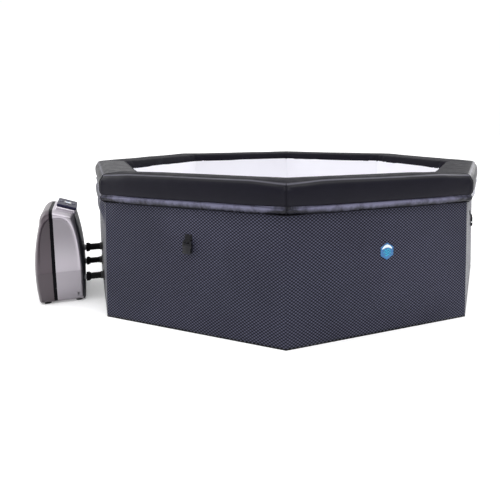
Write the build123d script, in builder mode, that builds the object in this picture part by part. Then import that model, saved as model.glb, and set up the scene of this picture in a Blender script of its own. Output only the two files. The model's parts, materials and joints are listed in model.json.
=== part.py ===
from build123d import *
from math import cos, radians, sin, tan
import os

# Octagonal inflatable hot tub with its pump and heater unit. Millimetres, +Z up.
# The origin is the middle of the tub's footprint, on the floor.
# Flats of the octagon face along X, Y and the diagonals. The pump unit stands on the -X side.

# Tub
across_flats = 1950
tub_height = 600
sides = 8
side_angle = 360 / sides
wall = 143  # jacket outside to liner inside
sheet = 1.5  # jacket and liner material
panel_skin = 1.2
panel_top = 556
base_thickness = 4
mat_thickness = 20
gap = 0.3
rim_overhang = 28
rim_drop = 122  # rim cover, top to lower hem
cover_sheet = 2

# Fittings: offset along the wall, then height
pump_side = 180
back_side = 90
water_along = 140
water_height = 103
air_height = 206
drain_spot = (0, 45)
valve_spot = (0, 300)
water_hose = 15  # outer radius
air_hose_radius = 16
hose_wall = 3
barrel = 17  # threaded body through the wall, radius
drain_barrel = 14
valve_barrel = 16

flange_reach = 13  # past the barrel
flange_thickness = 5
hose_start, hose_end = 16.3, 78
tail_end = 34
nut_reach = 9
nut_thickness = 6
union_start, union_end = 60, 78
union_collar = 4  # length of the plain end
union_reach = 5.5
spigot_start, spigot_end = 54, 80
filter_radius = 48
filter_depth = 88
filter_wall = 2.5
valve_flange = 24
valve_cap_radius = 17.5
hinge_height = 21  # above the valve's middle
hinge_out = 5.5
hinge_pin = 1
drain_cap_radius = 16.5
drain_tail = 12

# Cover buckles and badge
buckle_sides = (45, 135, 225, 315)
buckle_height = 356
buckle_out = 9
buckle_body = (40, 40, 10)
buckle_mouth = (30, 5)
buckle_drop = 29  # pivot to the body's middle
bar_radius = 2.4
bar_length = 34
web_width = 25
web_thickness = 2.4
patch_size = (54, 34, 2)
badge_spot = (14, 315)
badge_radius = 33
badge_thickness = 1.6

# Pump unit
unit_width = 350
unit_foot = 8
unit_wall = 3
unit_edge = 18
unit_corner = 22
band_width = 14
back_depth = 12
band_low, band_high = -1178, -1199  # middle of the band below the case and above it
foot_radius = 14
foot_spacing = (130, 270)
foot_middle = -1150
screw_spots = ((34, -1088), (372, -1128))
screw_radius = 4
gland_spot = (-1118, 48)
panel_size = (86, 206, 20)
panel_shift = 12  # from the seat's middle, towards the tub
panel_plinth = 8  # height of the set-back foot
panel_setback = 3
panel_wall = 2.5
lens_size = (30, 62)
board_thickness = 1.6
button_radius = 7
button_flange = 2
button_stand = 1.6  # above the panel's face
button_travel = 1
button_clearance = 0.35
gland_bore = 4.5
running_fit = 0.05

# Worked out
apothem = across_flats / 2
jacket_in = apothem - sheet
panel_out = jacket_in - gap
liner_in = apothem - wall
liner_out = liner_in + sheet
panel_in = liner_out + gap
floor_top = base_thickness + gap + mat_thickness
turn = tan(radians(side_angle / 2))


def wall_plane(angle, along, height, out=apothem):
    # Plane on the wall: x runs along the wall, z points away from the tub
    normal = Vector(cos(radians(angle)), sin(radians(angle)), 0)
    tangent = Vector(-sin(radians(angle)), cos(radians(angle)), 0)
    middle = normal * out + tangent * along + Vector(0, 0, height)
    return Plane(origin=middle, x_dir=tangent, z_dir=normal)


def tube(plane, start, end, outer, inner=0):
    # Round tube or bar along a plane's normal
    with BuildSketch(plane.offset(start)) as ring:
        Circle(outer)
        if inner:
            Circle(inner, mode=Mode.SUBTRACT)
    extrude(ring.sketch, amount=end - start)


def cut(plane, start, end, radius):
    with BuildSketch(plane.offset(start)) as disc:
        Circle(radius)
    extrude(disc.sketch, amount=end - start, mode=Mode.SUBTRACT)


def octagon(flat_to_middle, height, amount, mode=Mode.ADD):
    with BuildSketch(Plane.XY.offset(height)) as outline:
        RegularPolygon(flat_to_middle, sides, major_radius=False, rotation=side_angle / 2)
    extrude(outline.sketch, amount=amount, mode=mode)


def mitred_segment(outline, mitre_gap=0):
    # One eighth of an octagonal ring from an outline of (distance from the middle, height)
    reach = 1.2 * apothem * turn
    with BuildPart() as segment:
        with BuildSketch(Plane.XZ):
            with BuildLine():
                Polyline(*outline, close=True)
            make_face()
        extrude(amount=reach, both=True)
        for way in (1, -1):
            mitre = Plane(
                origin=(0, -way * mitre_gap, 0),
                z_dir=(sin(radians(side_angle / 2)), -way * cos(radians(side_angle / 2)), 0),
            )
            split(bisect_by=mitre, keep=Keep.TOP)
    return segment.part


def save(piece, name):
    piece.part.label = name
    export_step(piece.part, f"parts/{name}.step")


os.makedirs("parts", exist_ok=True)

# Places of the three hoses on the pump side, seen from outside the tub
suction_wall = wall_plane(pump_side, water_along, water_height)
return_wall = wall_plane(pump_side, -water_along, water_height)
air_wall = wall_plane(pump_side, 0, air_height)
drain_wall = wall_plane(back_side, *drain_spot)
valve_wall = wall_plane(back_side, *valve_spot)
wall_holes = {
    pump_side: [(suction_wall, barrel), (return_wall, barrel), (air_wall, barrel)],
    back_side: [(drain_wall, drain_barrel)],
}

# Eight drop-stitch air panels, hollow, with a sleeve welded round each hole
for number in range(sides):
    angle = number * side_angle
    with BuildPart() as air_panel:
        for inset, mode in ((0, Mode.ADD), (panel_skin, Mode.SUBTRACT)):
            inner, outer = panel_in + inset, panel_out - inset
            seam = inset + gap
            with BuildSketch(Plane.XY.offset(base_thickness + gap + inset)):
                with BuildLine():
                    Polyline(
                        (inner, -inner * turn + seam),
                        (outer, -outer * turn + seam),
                        (outer, outer * turn - seam),
                        (inner, inner * turn - seam),
                        close=True,
                    )
                make_face()
            extrude(amount=panel_top - base_thickness - gap - 2 * inset, mode=mode)
        local = Location((0, 0, 0), (0, 0, -angle))
        for plane, radius in wall_holes.get(angle, []):
            spot = Plane(local * plane.location)
            tube(spot, panel_in - apothem + gap, panel_out - apothem - gap, radius + 2.5)
            cut(spot, -wall, sheet, radius + 0.6)
        if angle == back_side:
            cut(Plane(local * valve_wall.location), -30, sheet, valve_barrel + 0.6)
    turned = air_panel.part.rotate(Axis.Z, angle)
    turned.label = f"air_panel_{number + 1}"
    export_step(turned, f"parts/air_panel_{number + 1}.step")

# Rim: foam on the panels' top and outside, under a sewn cover
rim_low = tub_height - rim_drop
foam_outline = [
    (panel_in, panel_top + 0.6),
    (panel_in, 580),
    (848, 592),
    (905, 596.5),
    (958, 597.5),
    (984, 593.5),
    (996, 584),
    (apothem + rim_overhang - 2.4, 570),
    (apothem + rim_overhang - 3.4, 508),
    (994, 500),
    (987, 486),
    (apothem + 0.6, rim_low + 2.6),
    (apothem + 0.6, panel_top + 0.6),
]
foam_segment = mitred_segment(foam_outline, mitre_gap=0.4)
with BuildPart() as rim_foam:
    with PolarLocations(0, sides):
        add(foam_segment)
save(rim_foam, "rim_foam")

cover_outline = [
    (liner_in - 0.5, panel_top - 2),
    (liner_in - 0.5, 581),
    (846, 594.5),
    (905, 599),
    (958, tub_height),
    (986, 596),
    (998.5, 585.5),
    (apothem + rim_overhang, 571),
    (apothem + rim_overhang - 1, 507),
    (996.5, 499),
    (989, 483.5),
    (apothem + 2, rim_low),
    (apothem + gap, rim_low),
    (apothem + gap, rim_low + 2.2),
    (987.4, 485.6),
    (994.4, 499.8),
    (apothem + rim_overhang - 3.1, 507.8),
    (apothem + rim_overhang - 2.1, 570.2),
    (996.3, 584.2),
    (984.2, 593.8),
    (958, 597.8),
    (905, 596.8),
    (847.8, 592.3),
    (liner_in + 1.5, 580.2),
    (liner_in + 1.5, panel_top - 2),
]
cover_segment = mitred_segment(cover_outline)
with BuildPart() as rim_cover:
    with PolarLocations(0, sides):
        add(cover_segment)
save(rim_cover, "rim_cover")

# Knurled jacket round the wall, open at top and bottom
with BuildPart() as outer_jacket:
    jacket_low = base_thickness + gap
    octagon(apothem, jacket_low, panel_top - jacket_low)
    octagon(jacket_in, jacket_low, panel_top - jacket_low, Mode.SUBTRACT)
    for group in wall_holes.values():
        for plane, radius in group:
            cut(plane, -10, 10, radius + 0.4)
    cut(valve_wall, -10, 10, valve_barrel + 0.4)
save(outer_jacket, "outer_jacket")

# Liner: the white tub that holds the water
with BuildPart() as liner:
    octagon(liner_out, floor_top + gap, panel_top - 4 - floor_top - gap)
    octagon(liner_in, floor_top + gap + sheet, panel_top, Mode.SUBTRACT)
    for group in wall_holes.values():
        for plane, radius in group:
            cut(plane, -wall - 10, -wall + 10, radius + 0.4)
save(liner, "liner")

with BuildPart() as base_sheet:
    octagon(apothem, 0, base_thickness)
save(base_sheet, "base_sheet")

with BuildPart() as floor_mat:
    octagon(liner_in - 2, base_thickness + gap, mat_thickness)
save(floor_mat, "floor_mat")

# Air channel round the floor, with a row of bubble holes in each side
channel_low = floor_top + gap + sheet + gap
channel_outline = [(766, 0), (769, 17), (778, 26), (792, 26), (801, 17), (804, 0)]
channel_bore = [(770, 3), (773, 15), (780, 22), (790, 22), (797, 15), (800, 3)]
channel_segment = mitred_segment([(x, channel_low + z) for x, z in channel_outline])
bore_segment = mitred_segment([(x, channel_low + z) for x, z in channel_bore])
with BuildPart() as bubble_ring:
    with PolarLocations(0, sides):
        add(channel_segment)
    with PolarLocations(0, sides):
        add(bore_segment, mode=Mode.SUBTRACT)
    for number in range(sides):
        side = wall_plane(number * side_angle, 0, channel_low + 24, 785)
        with BuildSketch(Plane(side.origin, x_dir=side.x_dir, z_dir=(0, 0, 1))):
            with GridLocations(60, 1, 9, 1):
                Circle(2)
        extrude(amount=-6, mode=Mode.SUBTRACT)
save(bubble_ring, "bubble_ring")


# Wall fittings: a threaded barrel through the wall, a flange inside, a hose tail outside
def wall_fitting(plane, tail, bore):
    inside = -wall - gap
    with BuildPart() as fitting:
        tube(plane, inside - flange_thickness, inside, barrel + flange_reach)
        tube(plane, inside, 8, barrel)
        tube(plane, 8, 16, tail + 5)
        tube(plane, 16, tail_end, tail)
        cut(plane, inside - 6, 35, bore)
    return fitting


water_tail = water_hose - hose_wall - running_fit
air_tail = air_hose_radius - hose_wall - running_fit
suction_fitting = wall_fitting(suction_wall, water_tail, 9)
save(suction_fitting, "suction_fitting")
return_fitting = wall_fitting(return_wall, water_tail, 9)
save(return_fitting, "return_fitting")
air_fitting = wall_fitting(air_wall, air_tail, 10)
save(air_fitting, "air_fitting")

# Lock nuts that clamp the wall between themselves and the inside flanges
with BuildPart() as lock_nuts:
    for plane in (suction_wall, return_wall, air_wall):
        with BuildSketch(plane.offset(gap)):
            RegularPolygon(barrel + nut_reach, 6)
            Circle(barrel + running_fit, mode=Mode.SUBTRACT)
        extrude(amount=nut_thickness)
save(lock_nuts, "lock_nuts")

# Filter on the suction fitting: a slotted cup, a cartridge and a bayonet cap
filter_plane = suction_wall.offset(-wall - gap - flange_thickness - gap)
with BuildPart() as filter_housing:
    tube(filter_plane, -filter_depth, 0, filter_radius, filter_radius - filter_wall)
    tube(filter_plane, -4, 0, filter_radius, 9)
    with BuildSketch(Plane(filter_plane.origin, x_dir=(0, 1, 0), z_dir=(1, 0, 0))):
        with PolarLocations(filter_radius, 12):
            Rectangle(12, 8)
    extrude(amount=filter_depth - 22, mode=Mode.SUBTRACT)
save(filter_housing, "filter_housing")

with BuildPart() as filter_cartridge:
    tube(filter_plane, -filter_depth + 8, -4 - gap, 22, 12)
    with BuildSketch(filter_plane.offset(-filter_depth + 10)):
        with PolarLocations(30, 36):
            Rectangle(19, 1.6)
    extrude(amount=filter_depth - 18)
    for low, high in ((-filter_depth + 6, -filter_depth + 10), (-8.5, -4.5)):
        tube(filter_plane, low, high, 43, 12)
save(filter_cartridge, "filter_cartridge")

with BuildPart() as filter_cap:
    tube(filter_plane, -filter_depth - 8, -filter_depth - gap, filter_radius + 3)
    tube(filter_plane, -filter_depth - gap, -filter_depth + 5, filter_radius - 3, filter_radius - 6)
    with BuildSketch(filter_plane.offset(-filter_depth - 8)):
        Rectangle(54, 9)
    extrude(amount=-9)
save(filter_cap, "filter_cap")

# Drain valve through the wall, with a screw cap
inside = -wall - gap
with BuildPart() as drain_valve:
    tube(drain_wall, inside - 4, inside, drain_barrel + 4)
    tube(drain_wall, inside, gap, drain_barrel)
    tube(drain_wall, gap, 3.5, drain_barrel + 10)
    tube(drain_wall, 3.5, 22, drain_tail)
    cut(drain_wall, inside - 5, 23, 9)
save(drain_valve, "drain_valve")

with BuildPart() as drain_cap:
    with BuildSketch(drain_wall.offset(5)):
        RegularPolygon(drain_cap_radius, 10)
        Circle(drain_tail + running_fit, mode=Mode.SUBTRACT)
    extrude(amount=17.5)
    with BuildSketch(drain_wall.offset(22.5)):
        RegularPolygon(drain_cap_radius, 10)
    extrude(amount=3)
save(drain_cap, "drain_cap")

# Inflation valve: body welded in the back panel, sprung plunger, hinged cap
with BuildPart() as inflation_valve:
    tube(valve_wall, gap, 3, valve_flange, valve_barrel - 4)
    tube(valve_wall, -24, gap, valve_barrel, valve_barrel - 4)
    for start in (-20, -11):
        with BuildSketch(valve_wall.offset(start)):
            for tilt in (0, 90):
                Rectangle(2 * valve_barrel - 6, 2.5, rotation=tilt)
        extrude(amount=3)
    cut(valve_wall, -21, 4, 2.5 + running_fit)
    for along in (-8, 8):
        with BuildSketch(valve_wall.offset(3)):
            with Locations((along, hinge_height)):
                Rectangle(3, 5)
        extrude(amount=4.5)
    pin_origin = valve_wall.offset(hinge_out).origin + Vector(0, 0, hinge_height)
    cap_pin = Plane(pin_origin, z_dir=valve_wall.x_dir)
    cut(cap_pin, -12, 12, hinge_pin + running_fit)
save(inflation_valve, "inflation_valve")

with BuildPart() as valve_plunger:
    tube(valve_wall, -30, -2, 2.5)
    tube(valve_wall, -27.5, -24.5, 14)
    tube(valve_wall, -2, 0, 5)
save(valve_plunger, "valve_plunger")

with BuildPart() as valve_cap:
    tube(valve_wall, 3.4, 7, valve_cap_radius)
    with BuildSketch(valve_wall.offset(4.2)):
        with Locations((0, 18.5)):
            Rectangle(10, 5)
    extrude(amount=2.6)
    tube(cap_pin, -9.5, 9.5, hinge_pin)
    with BuildSketch(valve_wall.offset(3.4)):
        with Locations((0, -18)):
            Rectangle(9, 6)
    extrude(amount=2)
save(valve_cap, "valve_cap")

# Cover buckles on the four diagonal sides: a sewn patch with a web loop, and a hanging buckle
with BuildPart() as buckle_straps:
    for angle in buckle_sides:
        patch = wall_plane(angle, 0, buckle_height + 22)
        with BuildSketch(patch.offset(gap)):
            RectangleRounded(patch_size[0], patch_size[1], 3)
        extrude(amount=patch_size[2])
        pivot = wall_plane(angle, 0, buckle_height, apothem + buckle_out)
        loop = Plane(pivot.origin - pivot.x_dir * web_width / 2, z_dir=pivot.x_dir)
        tube(loop, 0, web_width, bar_radius + web_thickness)
        tab = wall_plane(angle, 0, buckle_height + 9, apothem + gap)
        with BuildSketch(tab):
            Rectangle(web_width, 20)
        extrude(amount=buckle_out)
        cut(loop, -1, web_width + 1, bar_radius + 0.45)
save(buckle_straps, "buckle_straps")

for number, angle in enumerate(buckle_sides):
    pivot = wall_plane(angle, 0, buckle_height, apothem + buckle_out)
    bar = Plane(pivot.origin - pivot.x_dir * bar_length / 2, z_dir=pivot.x_dir)
    body_length, body_width, body_depth = buckle_body
    with BuildPart() as buckle:
        tube(bar, 0, bar_length, bar_radius)
        for along in (-15.5, 15.5):
            arm = wall_plane(angle, along, buckle_height - 4, apothem + buckle_out - 3)
            with BuildSketch(arm):
                Rectangle(5, 14)
            extrude(amount=6)
        body_middle = buckle_height - buckle_drop
        body = wall_plane(angle, 0, body_middle, apothem + buckle_out - body_depth / 2)
        with BuildSketch(body):
            RectangleRounded(body_length, body_width, 5)
        extrude(amount=body_depth)
        mouth = wall_plane(angle, 0, body_middle - body_width / 2, apothem + buckle_out)
        with BuildSketch(Plane(mouth.origin, x_dir=mouth.x_dir, z_dir=(0, 0, 1))):
            Rectangle(*buckle_mouth)
        extrude(amount=30, mode=Mode.SUBTRACT)
    save(buckle, f"buckle_{number + 1}")

# Generic six-sided badge on the front
with BuildPart() as badge:
    with BuildSketch(wall_plane(-90, *badge_spot).offset(gap)):
        RegularPolygon(badge_radius, 6, rotation=30)
    extrude(amount=badge_thickness)
save(badge, "badge")

# Pump unit: side outline as (x, z), clockwise from the front foot, extruded over its width
front_low = (-1240, unit_foot)
front_high = (-1243, 365)
crown = (-1194, 428)
seat_end = (-1104, 398)
back_high = (-1057, 120)
back_low = (-1057, unit_foot)
back_bulge = (-1070, 285)
seat_slope = Vector(seat_end[0] - crown[0], 0, seat_end[1] - crown[1]).normalized()
seat_middle = Vector((crown[0] + seat_end[0]) / 2, 0, (crown[1] + seat_end[1]) / 2)
seat_middle = seat_middle + seat_slope * panel_shift
seat = Plane(origin=seat_middle, x_dir=seat_slope, z_dir=(-seat_slope.Z, 0, seat_slope.X))


def unit_outline(inset=0):
    # The closed side outline, moved in by the wall thickness
    with BuildSketch(Plane.XZ) as outline:
        with BuildLine():
            ThreePointArc(front_low, (-1265, 170), front_high)
            ThreePointArc(front_high, (-1229, 407), crown)
            Line(crown, seat_end)
            ThreePointArc(seat_end, back_bulge, back_high)
            Line(back_high, back_low)
            Line(back_low, front_low)
        make_face()
        fillet(outline.vertices(), unit_corner)
        if inset:
            offset(amount=-inset, mode=Mode.REPLACE)
    return outline.sketch


def unit_body(inset=0):
    # The whole case as a solid
    with BuildPart() as body:
        extrude(unit_outline(inset), amount=unit_width / 2 - inset, both=True)
        side_edges = body.faces().filter_by(Axis.Y).edges()
        fillet(side_edges, unit_edge - inset)
    return body.part


def slab(start, low, end, high):
    # Everything between a slanting line on the left and another on the right, full width
    with BuildPart() as block:
        with BuildSketch(Plane.XZ):
            with BuildLine():
                Polyline((start, -50), (low, -50), (high, 500), (end, 500), close=True)
            make_face()
        extrude(amount=unit_width, both=True)
    return block.part


def back_region(shift):
    # Everything on the tub side of the case's back curve, moved towards the front
    with BuildPart() as block:
        with BuildSketch(Plane.XZ):
            with BuildLine():
                top = (seat_end[0] - shift, seat_end[1])
                middle = (back_bulge[0] - shift, back_bulge[1])
                bottom = (back_high[0] - shift, back_high[1])
                ThreePointArc(top, middle, bottom)
                Polyline(
                    bottom,
                    (back_high[0] - shift, -50),
                    (-900, -50),
                    (-900, 500),
                    (top[0], 500),
                    top,
                )
            make_face()
        extrude(amount=unit_width, both=True)
    return block.part


case = unit_body()
hollow = unit_body(unit_wall)
half_band = band_width / 2
left = slab(-1400, band_low - half_band - 0.1, -1400, band_high - half_band - 0.1)
right = slab(band_low + half_band + 0.1, -800, band_high + half_band + 0.1, -800)
hoses = {
    "suction": (suction_wall, water_hose),
    "return": (return_wall, water_hose),
    "air": (air_wall, air_hose_radius),
}
gland_hole = Plane(origin=(gland_spot[0], unit_width / 2, gland_spot[1]), z_dir=(0, 1, 0))

with BuildPart() as front_shell:
    add(case)
    add(hollow, mode=Mode.SUBTRACT)
    add(left, mode=Mode.INTERSECT)
save(front_shell, "front_shell")

with BuildPart() as centre_band:
    add(case)
    add(hollow, mode=Mode.SUBTRACT)
    add(left, mode=Mode.SUBTRACT)
    add(right, mode=Mode.SUBTRACT)
save(centre_band, "centre_band")

with BuildPart() as rear_shell:
    add(case)
    add(hollow, mode=Mode.SUBTRACT)
    add(right, mode=Mode.INTERSECT)
    add(back_region(back_depth), mode=Mode.SUBTRACT)
    for height, across in screw_spots:
        for way in (1, -1):
            hole = Plane(origin=(across, way * unit_width / 2, height), z_dir=(0, way, 0))
            cut(hole, -unit_wall - 1, 1, screw_radius + 0.3)
    cut(gland_hole, -10, 10, 9.3)
save(rear_shell, "rear_shell")

with BuildPart() as back_panel:
    add(case)
    add(hollow, mode=Mode.SUBTRACT)
    add(back_region(back_depth - 0.2), mode=Mode.INTERSECT)
    for plane, radius in hoses.values():
        cut(plane, 60, 100, radius + 0.6)
save(back_panel, "back_panel")

with BuildPart() as feet:
    with BuildSketch(Plane.XY):
        with Locations((foot_middle, 0)):
            with GridLocations(*foot_spacing, 2, 2):
                Circle(foot_radius)
    extrude(amount=unit_foot - 0.2)
save(feet, "feet")

with BuildPart() as case_screws:
    for height, across in screw_spots:
        for way in (1, -1):
            hole = Plane(origin=(across, way * unit_width / 2, height), z_dir=(0, way, 0))
            tube(hole, -unit_wall - 14, -1.5, screw_radius)
            with BuildSketch(hole.offset(-2.8)) as socket:
                Rectangle(4.5, 1)
                Rectangle(1, 4.5)
            extrude(socket.sketch, amount=2, mode=Mode.SUBTRACT)
save(case_screws, "case_screws")

# Control panel on the sloping seat behind the band
panel_length, panel_width, panel_high = panel_size
buttons = {
    "power_button": (-27, 0),
    "heat_button": (0, -72),
    "bubble_button": (0, 72),
    "filter_button": (27, 0),
}
panel_roof = panel_high - 4
cavity = (
    panel_length - 2 * panel_setback - 2 * panel_wall,
    panel_width - 2 * panel_setback - 2 * panel_wall,
)
board_high = panel_roof - 2 * button_travel - button_flange / 2
with BuildPart() as control_panel:
    with BuildSketch(seat.offset(gap)):
        RectangleRounded(panel_length - 2 * panel_setback, panel_width - 2 * panel_setback, 7)
    extrude(amount=panel_plinth - gap)
    with BuildSketch(seat.offset(panel_plinth)):
        RectangleRounded(panel_length, panel_width, 10)
    extrude(amount=panel_high - panel_plinth)
    with BuildSketch(seat.offset(gap)):
        RectangleRounded(*cavity, 5)
    extrude(amount=panel_roof - gap, mode=Mode.SUBTRACT)
    with BuildSketch(seat.offset(board_high)):
        with GridLocations(cavity[0] - 18, cavity[1] - 18, 2, 2):
            Circle(3)
    extrude(amount=panel_high - board_high - 2)
    with BuildSketch(seat.offset(panel_high - 2)):
        Rectangle(*lens_size)
    extrude(amount=3, mode=Mode.SUBTRACT)
    with BuildSketch(seat):
        with Locations(*buttons.values()):
            Circle(button_radius + button_clearance)
    extrude(amount=panel_high + 1, mode=Mode.SUBTRACT)
save(control_panel, "control_panel")

with BuildPart() as display_lens:
    with BuildSketch(seat.offset(panel_high - 1.9)):
        Rectangle(lens_size[0] - 0.6, lens_size[1] - 0.6)
    extrude(amount=2.1)
save(display_lens, "display_lens")

with BuildPart() as control_board:
    with BuildSketch(seat.offset(board_high - board_thickness)):
        Rectangle(cavity[0] - 3, cavity[1] - 5)
    extrude(amount=board_thickness)
save(control_board, "control_board")

for name, (down, across) in buttons.items():
    spot = Plane(origin=seat.from_local_coords((down, across, 0)), x_dir=seat.x_dir, z_dir=seat.z_dir)
    with BuildPart() as button:
        tube(spot, panel_roof - 1.8, panel_roof - 0.6, button_radius + button_flange)
        tube(spot, panel_roof - 0.6, panel_high + button_stand, button_radius)
        fillet(button.edges().filter_by(GeomType.CIRCLE).sort_by(Axis(seat.origin, seat.z_dir))[-1], 0.6)
    save(button, name)

# Inside the unit: pump, heater, blower and their pipes, on axes across the unit
pump_middle = (-1147, 0, water_height)
across_unit = Plane(origin=pump_middle, x_dir=(1, 0, 0), z_dir=(0, 1, 0))
pump_end, volute_depth, motor_end = -166, 48, -20
shaft = 4
with BuildPart() as circulation_pump:
    tube(across_unit, pump_end, pump_end + volute_depth, 46)
    tube(across_unit, pump_end + volute_depth, motor_end, 38)
    cut(across_unit, pump_end + 6, pump_end + 40, 36)
    cut(across_unit, pump_end + 40, motor_end - 10, shaft + running_fit)
save(circulation_pump, "circulation_pump")

with BuildPart() as pump_impeller:
    tube(across_unit, pump_end + 9, pump_end + 13, 33)
    tube(across_unit, pump_end + 13, pump_end + 38, 8)
    tube(across_unit, pump_end + 38, motor_end - 11, shaft)
    with BuildSketch(across_unit.offset(pump_end + 13)):
        with PolarLocations(19, 6):
            Rectangle(26, 2)
    extrude(amount=14)
save(pump_impeller, "pump_impeller")

heater_axis = Plane(origin=(-1150, 0, 206), x_dir=(1, 0, 0), z_dir=(0, 1, 0))
with BuildPart() as heater_tube:
    tube(heater_axis, 34, 164, 21, 19.5)
    for end in (32, 162):
        tube(heater_axis, end, end + 4, 21)
    tube(heater_axis, 20, 32, 11)
    for drop in (-6, 6):
        element = Plane(origin=(-1150, 0, 206 + drop), x_dir=(1, 0, 0), z_dir=(0, 1, 0))
        tube(element, 36, 150, 3.5)
save(heater_tube, "heater_tube")

blower_axis = Plane(origin=(-1182, -20, 312), x_dir=(0, 1, 0), z_dir=(1, 0, 0))
with BuildPart() as air_blower:
    tube(blower_axis, 0, 76, 62)
    cut(blower_axis, 4, 50, 56)
    cut(blower_axis, 50, 70, shaft + running_fit)
    cut(blower_axis, -1, 5, 24)
save(air_blower, "air_blower")

with BuildPart() as blower_fan:
    tube(blower_axis, 42, 46, 50)
    tube(blower_axis, 10, 46, 9)
    tube(blower_axis, 46, 68, shaft)
    with BuildSketch(blower_axis.offset(10)):
        with PolarLocations(38, 16):
            Rectangle(18, 1.6, rotation=35)
    extrude(amount=32)
save(blower_fan, "blower_fan")

# Spigots through the back panel, each with its pipe to the pump, heater or blower
with BuildPart() as internal_pipes:
    tube(suction_wall, spigot_start, spigot_end, water_tail)
    tube(suction_wall, spigot_end, 125, 14)
    tube(return_wall, spigot_start, spigot_end, water_tail)
    tube(return_wall, spigot_end, 189, 14)
    tube(air_wall, spigot_start, spigot_end, air_tail)
    tube(air_wall, spigot_end, 159, 14)
    riser = Plane(origin=(-1150, water_along, water_height))
    tube(riser, -14, 81, 14)
    tube(Plane(origin=(-1120, 0, air_height)), -14, 43, 14)
    cut(suction_wall, spigot_start - 1, 126, 9)
    cut(return_wall, spigot_start - 1, 175, 9)
    cut(riser, 0, 82, 9)
    cut(air_wall, spigot_start - 1, 145, 10)
    cut(Plane(origin=(-1120, 0, air_height)), 0, 44, 10)
save(internal_pipes, "internal_pipes")

with BuildPart() as discharge_pipe:
    tube(Plane(origin=(-1150, -water_along, 150)), 0, 67, 11)
    tube(heater_axis, -water_along, 19.6, 11)
    cut(Plane(origin=(-1150, -water_along, 150)), -1, 56, 8)
    cut(heater_axis, -water_along, 20, 8)
save(discharge_pipe, "discharge_pipe")

# Mains cable gland in the side of the rear shell, with its cable bore
with BuildPart() as cable_gland:
    tube(gland_hole, 0.3, 12, 12)
    tube(gland_hole, -12, 0.3, 9)
    cut(gland_hole, -13, 13, gland_bore)
save(cable_gland, "cable_gland")

# Hoses between the unit and the wall, with a union nut at the unit end
for name, (plane, radius) in hoses.items():
    with BuildPart() as hose:
        tube(plane, hose_start, hose_end, radius, radius - hose_wall)
    save(hose, f"{name}_hose")
    with BuildPart() as union:
        grip_start = union_start + union_collar
        with BuildSketch(plane.offset(grip_start)):
            RegularPolygon(radius + union_reach, 12)
            Circle(radius + running_fit, mode=Mode.SUBTRACT)
        extrude(amount=union_end - grip_start)
        tube(plane, union_start, grip_start, radius + 3, radius + running_fit)
    save(union, f"{name}_union")
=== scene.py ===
import json
from math import atan2, copysign, cos, dist, exp, hypot, pi, radians, sin, sqrt, tan
import bmesh
import bpy
from mathutils import Matrix, Vector, noise


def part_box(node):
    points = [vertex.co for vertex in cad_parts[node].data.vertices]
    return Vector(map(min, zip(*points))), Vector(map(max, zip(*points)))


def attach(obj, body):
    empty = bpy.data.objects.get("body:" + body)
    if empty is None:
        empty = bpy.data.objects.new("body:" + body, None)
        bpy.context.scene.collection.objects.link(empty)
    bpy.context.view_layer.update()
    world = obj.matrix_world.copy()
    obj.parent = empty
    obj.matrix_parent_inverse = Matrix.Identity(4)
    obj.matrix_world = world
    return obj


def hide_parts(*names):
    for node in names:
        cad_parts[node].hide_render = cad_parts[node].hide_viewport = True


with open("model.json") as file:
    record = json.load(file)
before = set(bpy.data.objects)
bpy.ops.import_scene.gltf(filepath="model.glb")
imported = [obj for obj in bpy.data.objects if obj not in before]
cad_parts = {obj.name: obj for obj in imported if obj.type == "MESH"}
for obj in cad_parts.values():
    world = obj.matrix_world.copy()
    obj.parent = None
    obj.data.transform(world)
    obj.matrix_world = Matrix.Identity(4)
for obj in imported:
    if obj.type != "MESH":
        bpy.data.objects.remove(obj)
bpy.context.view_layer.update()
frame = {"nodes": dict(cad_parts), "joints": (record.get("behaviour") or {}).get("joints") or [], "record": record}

# Octagonal inflatable hot tub with its pump unit, in metres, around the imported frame.
# Sizes handed to the box, lathe, slab and ribbon helpers are in millimetres.
mm = 0.001
sides = 8
sideAngle = 2 * pi / sides
turn = tan(sideAngle / 2)
clothThick = 1.2 * mm
linerThick = 1.5 * mm
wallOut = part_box("outer_jacket")[1].x
rimLow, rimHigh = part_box("rim_cover")
linerLow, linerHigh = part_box("liner")
linerIn, floorTop = linerHigh.x - linerThick, linerLow.z + linerThick
rimTop = rimHigh.z


def clamp(value, low=0.0, high=1.0):
    return max(low, min(high, value))


def smooth(low, high, value):
    t = clamp((value - low) / (high - low))
    return t * t * (3 - 2 * t)


def bell(distance, width):
    return exp(-((distance / width) ** 2))


def fuzz(x, y, seed, octaves=1):
    point = Vector((x, y, seed * 7.31))
    return noise.noise(point) if octaves == 1 else noise.fractal(point, 0.7, 2.1, octaves)


def tint(colour, share):
    return tuple(min(1, c * share) for c in colour)


def shift(x, y, z=0):
    return Matrix.Translation(Vector((x, y, z)) * mm)


def addPiece(name, mesh, material, slot, nodes, body="spa"):
    # Puts a mesh in the scene, riding on a body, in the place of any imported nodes
    piece = bpy.data.objects.new(name, mesh)
    bpy.context.scene.collection.objects.link(piece)
    mesh.materials.append(material)
    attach(piece, body)
    if nodes:
        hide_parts(*nodes)
    return piece


def fromBmesh(name, bm, material, slot, *nodes, body="spa", sharp=40):
    bmesh.ops.recalc_face_normals(bm, faces=bm.faces)
    mesh = bpy.data.meshes.new(name)
    bm.to_mesh(mesh)
    bm.free()
    mesh.shade_smooth()
    mesh.set_sharp_from_angle(angle=radians(sharp))
    return addPiece(name, mesh, material, slot, nodes, body)


def thicken(piece, thickness):
    modifier = piece.modifiers.new("thickness", "SOLIDIFY")
    modifier.thickness = thickness
    modifier.offset = -1.0


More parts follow.
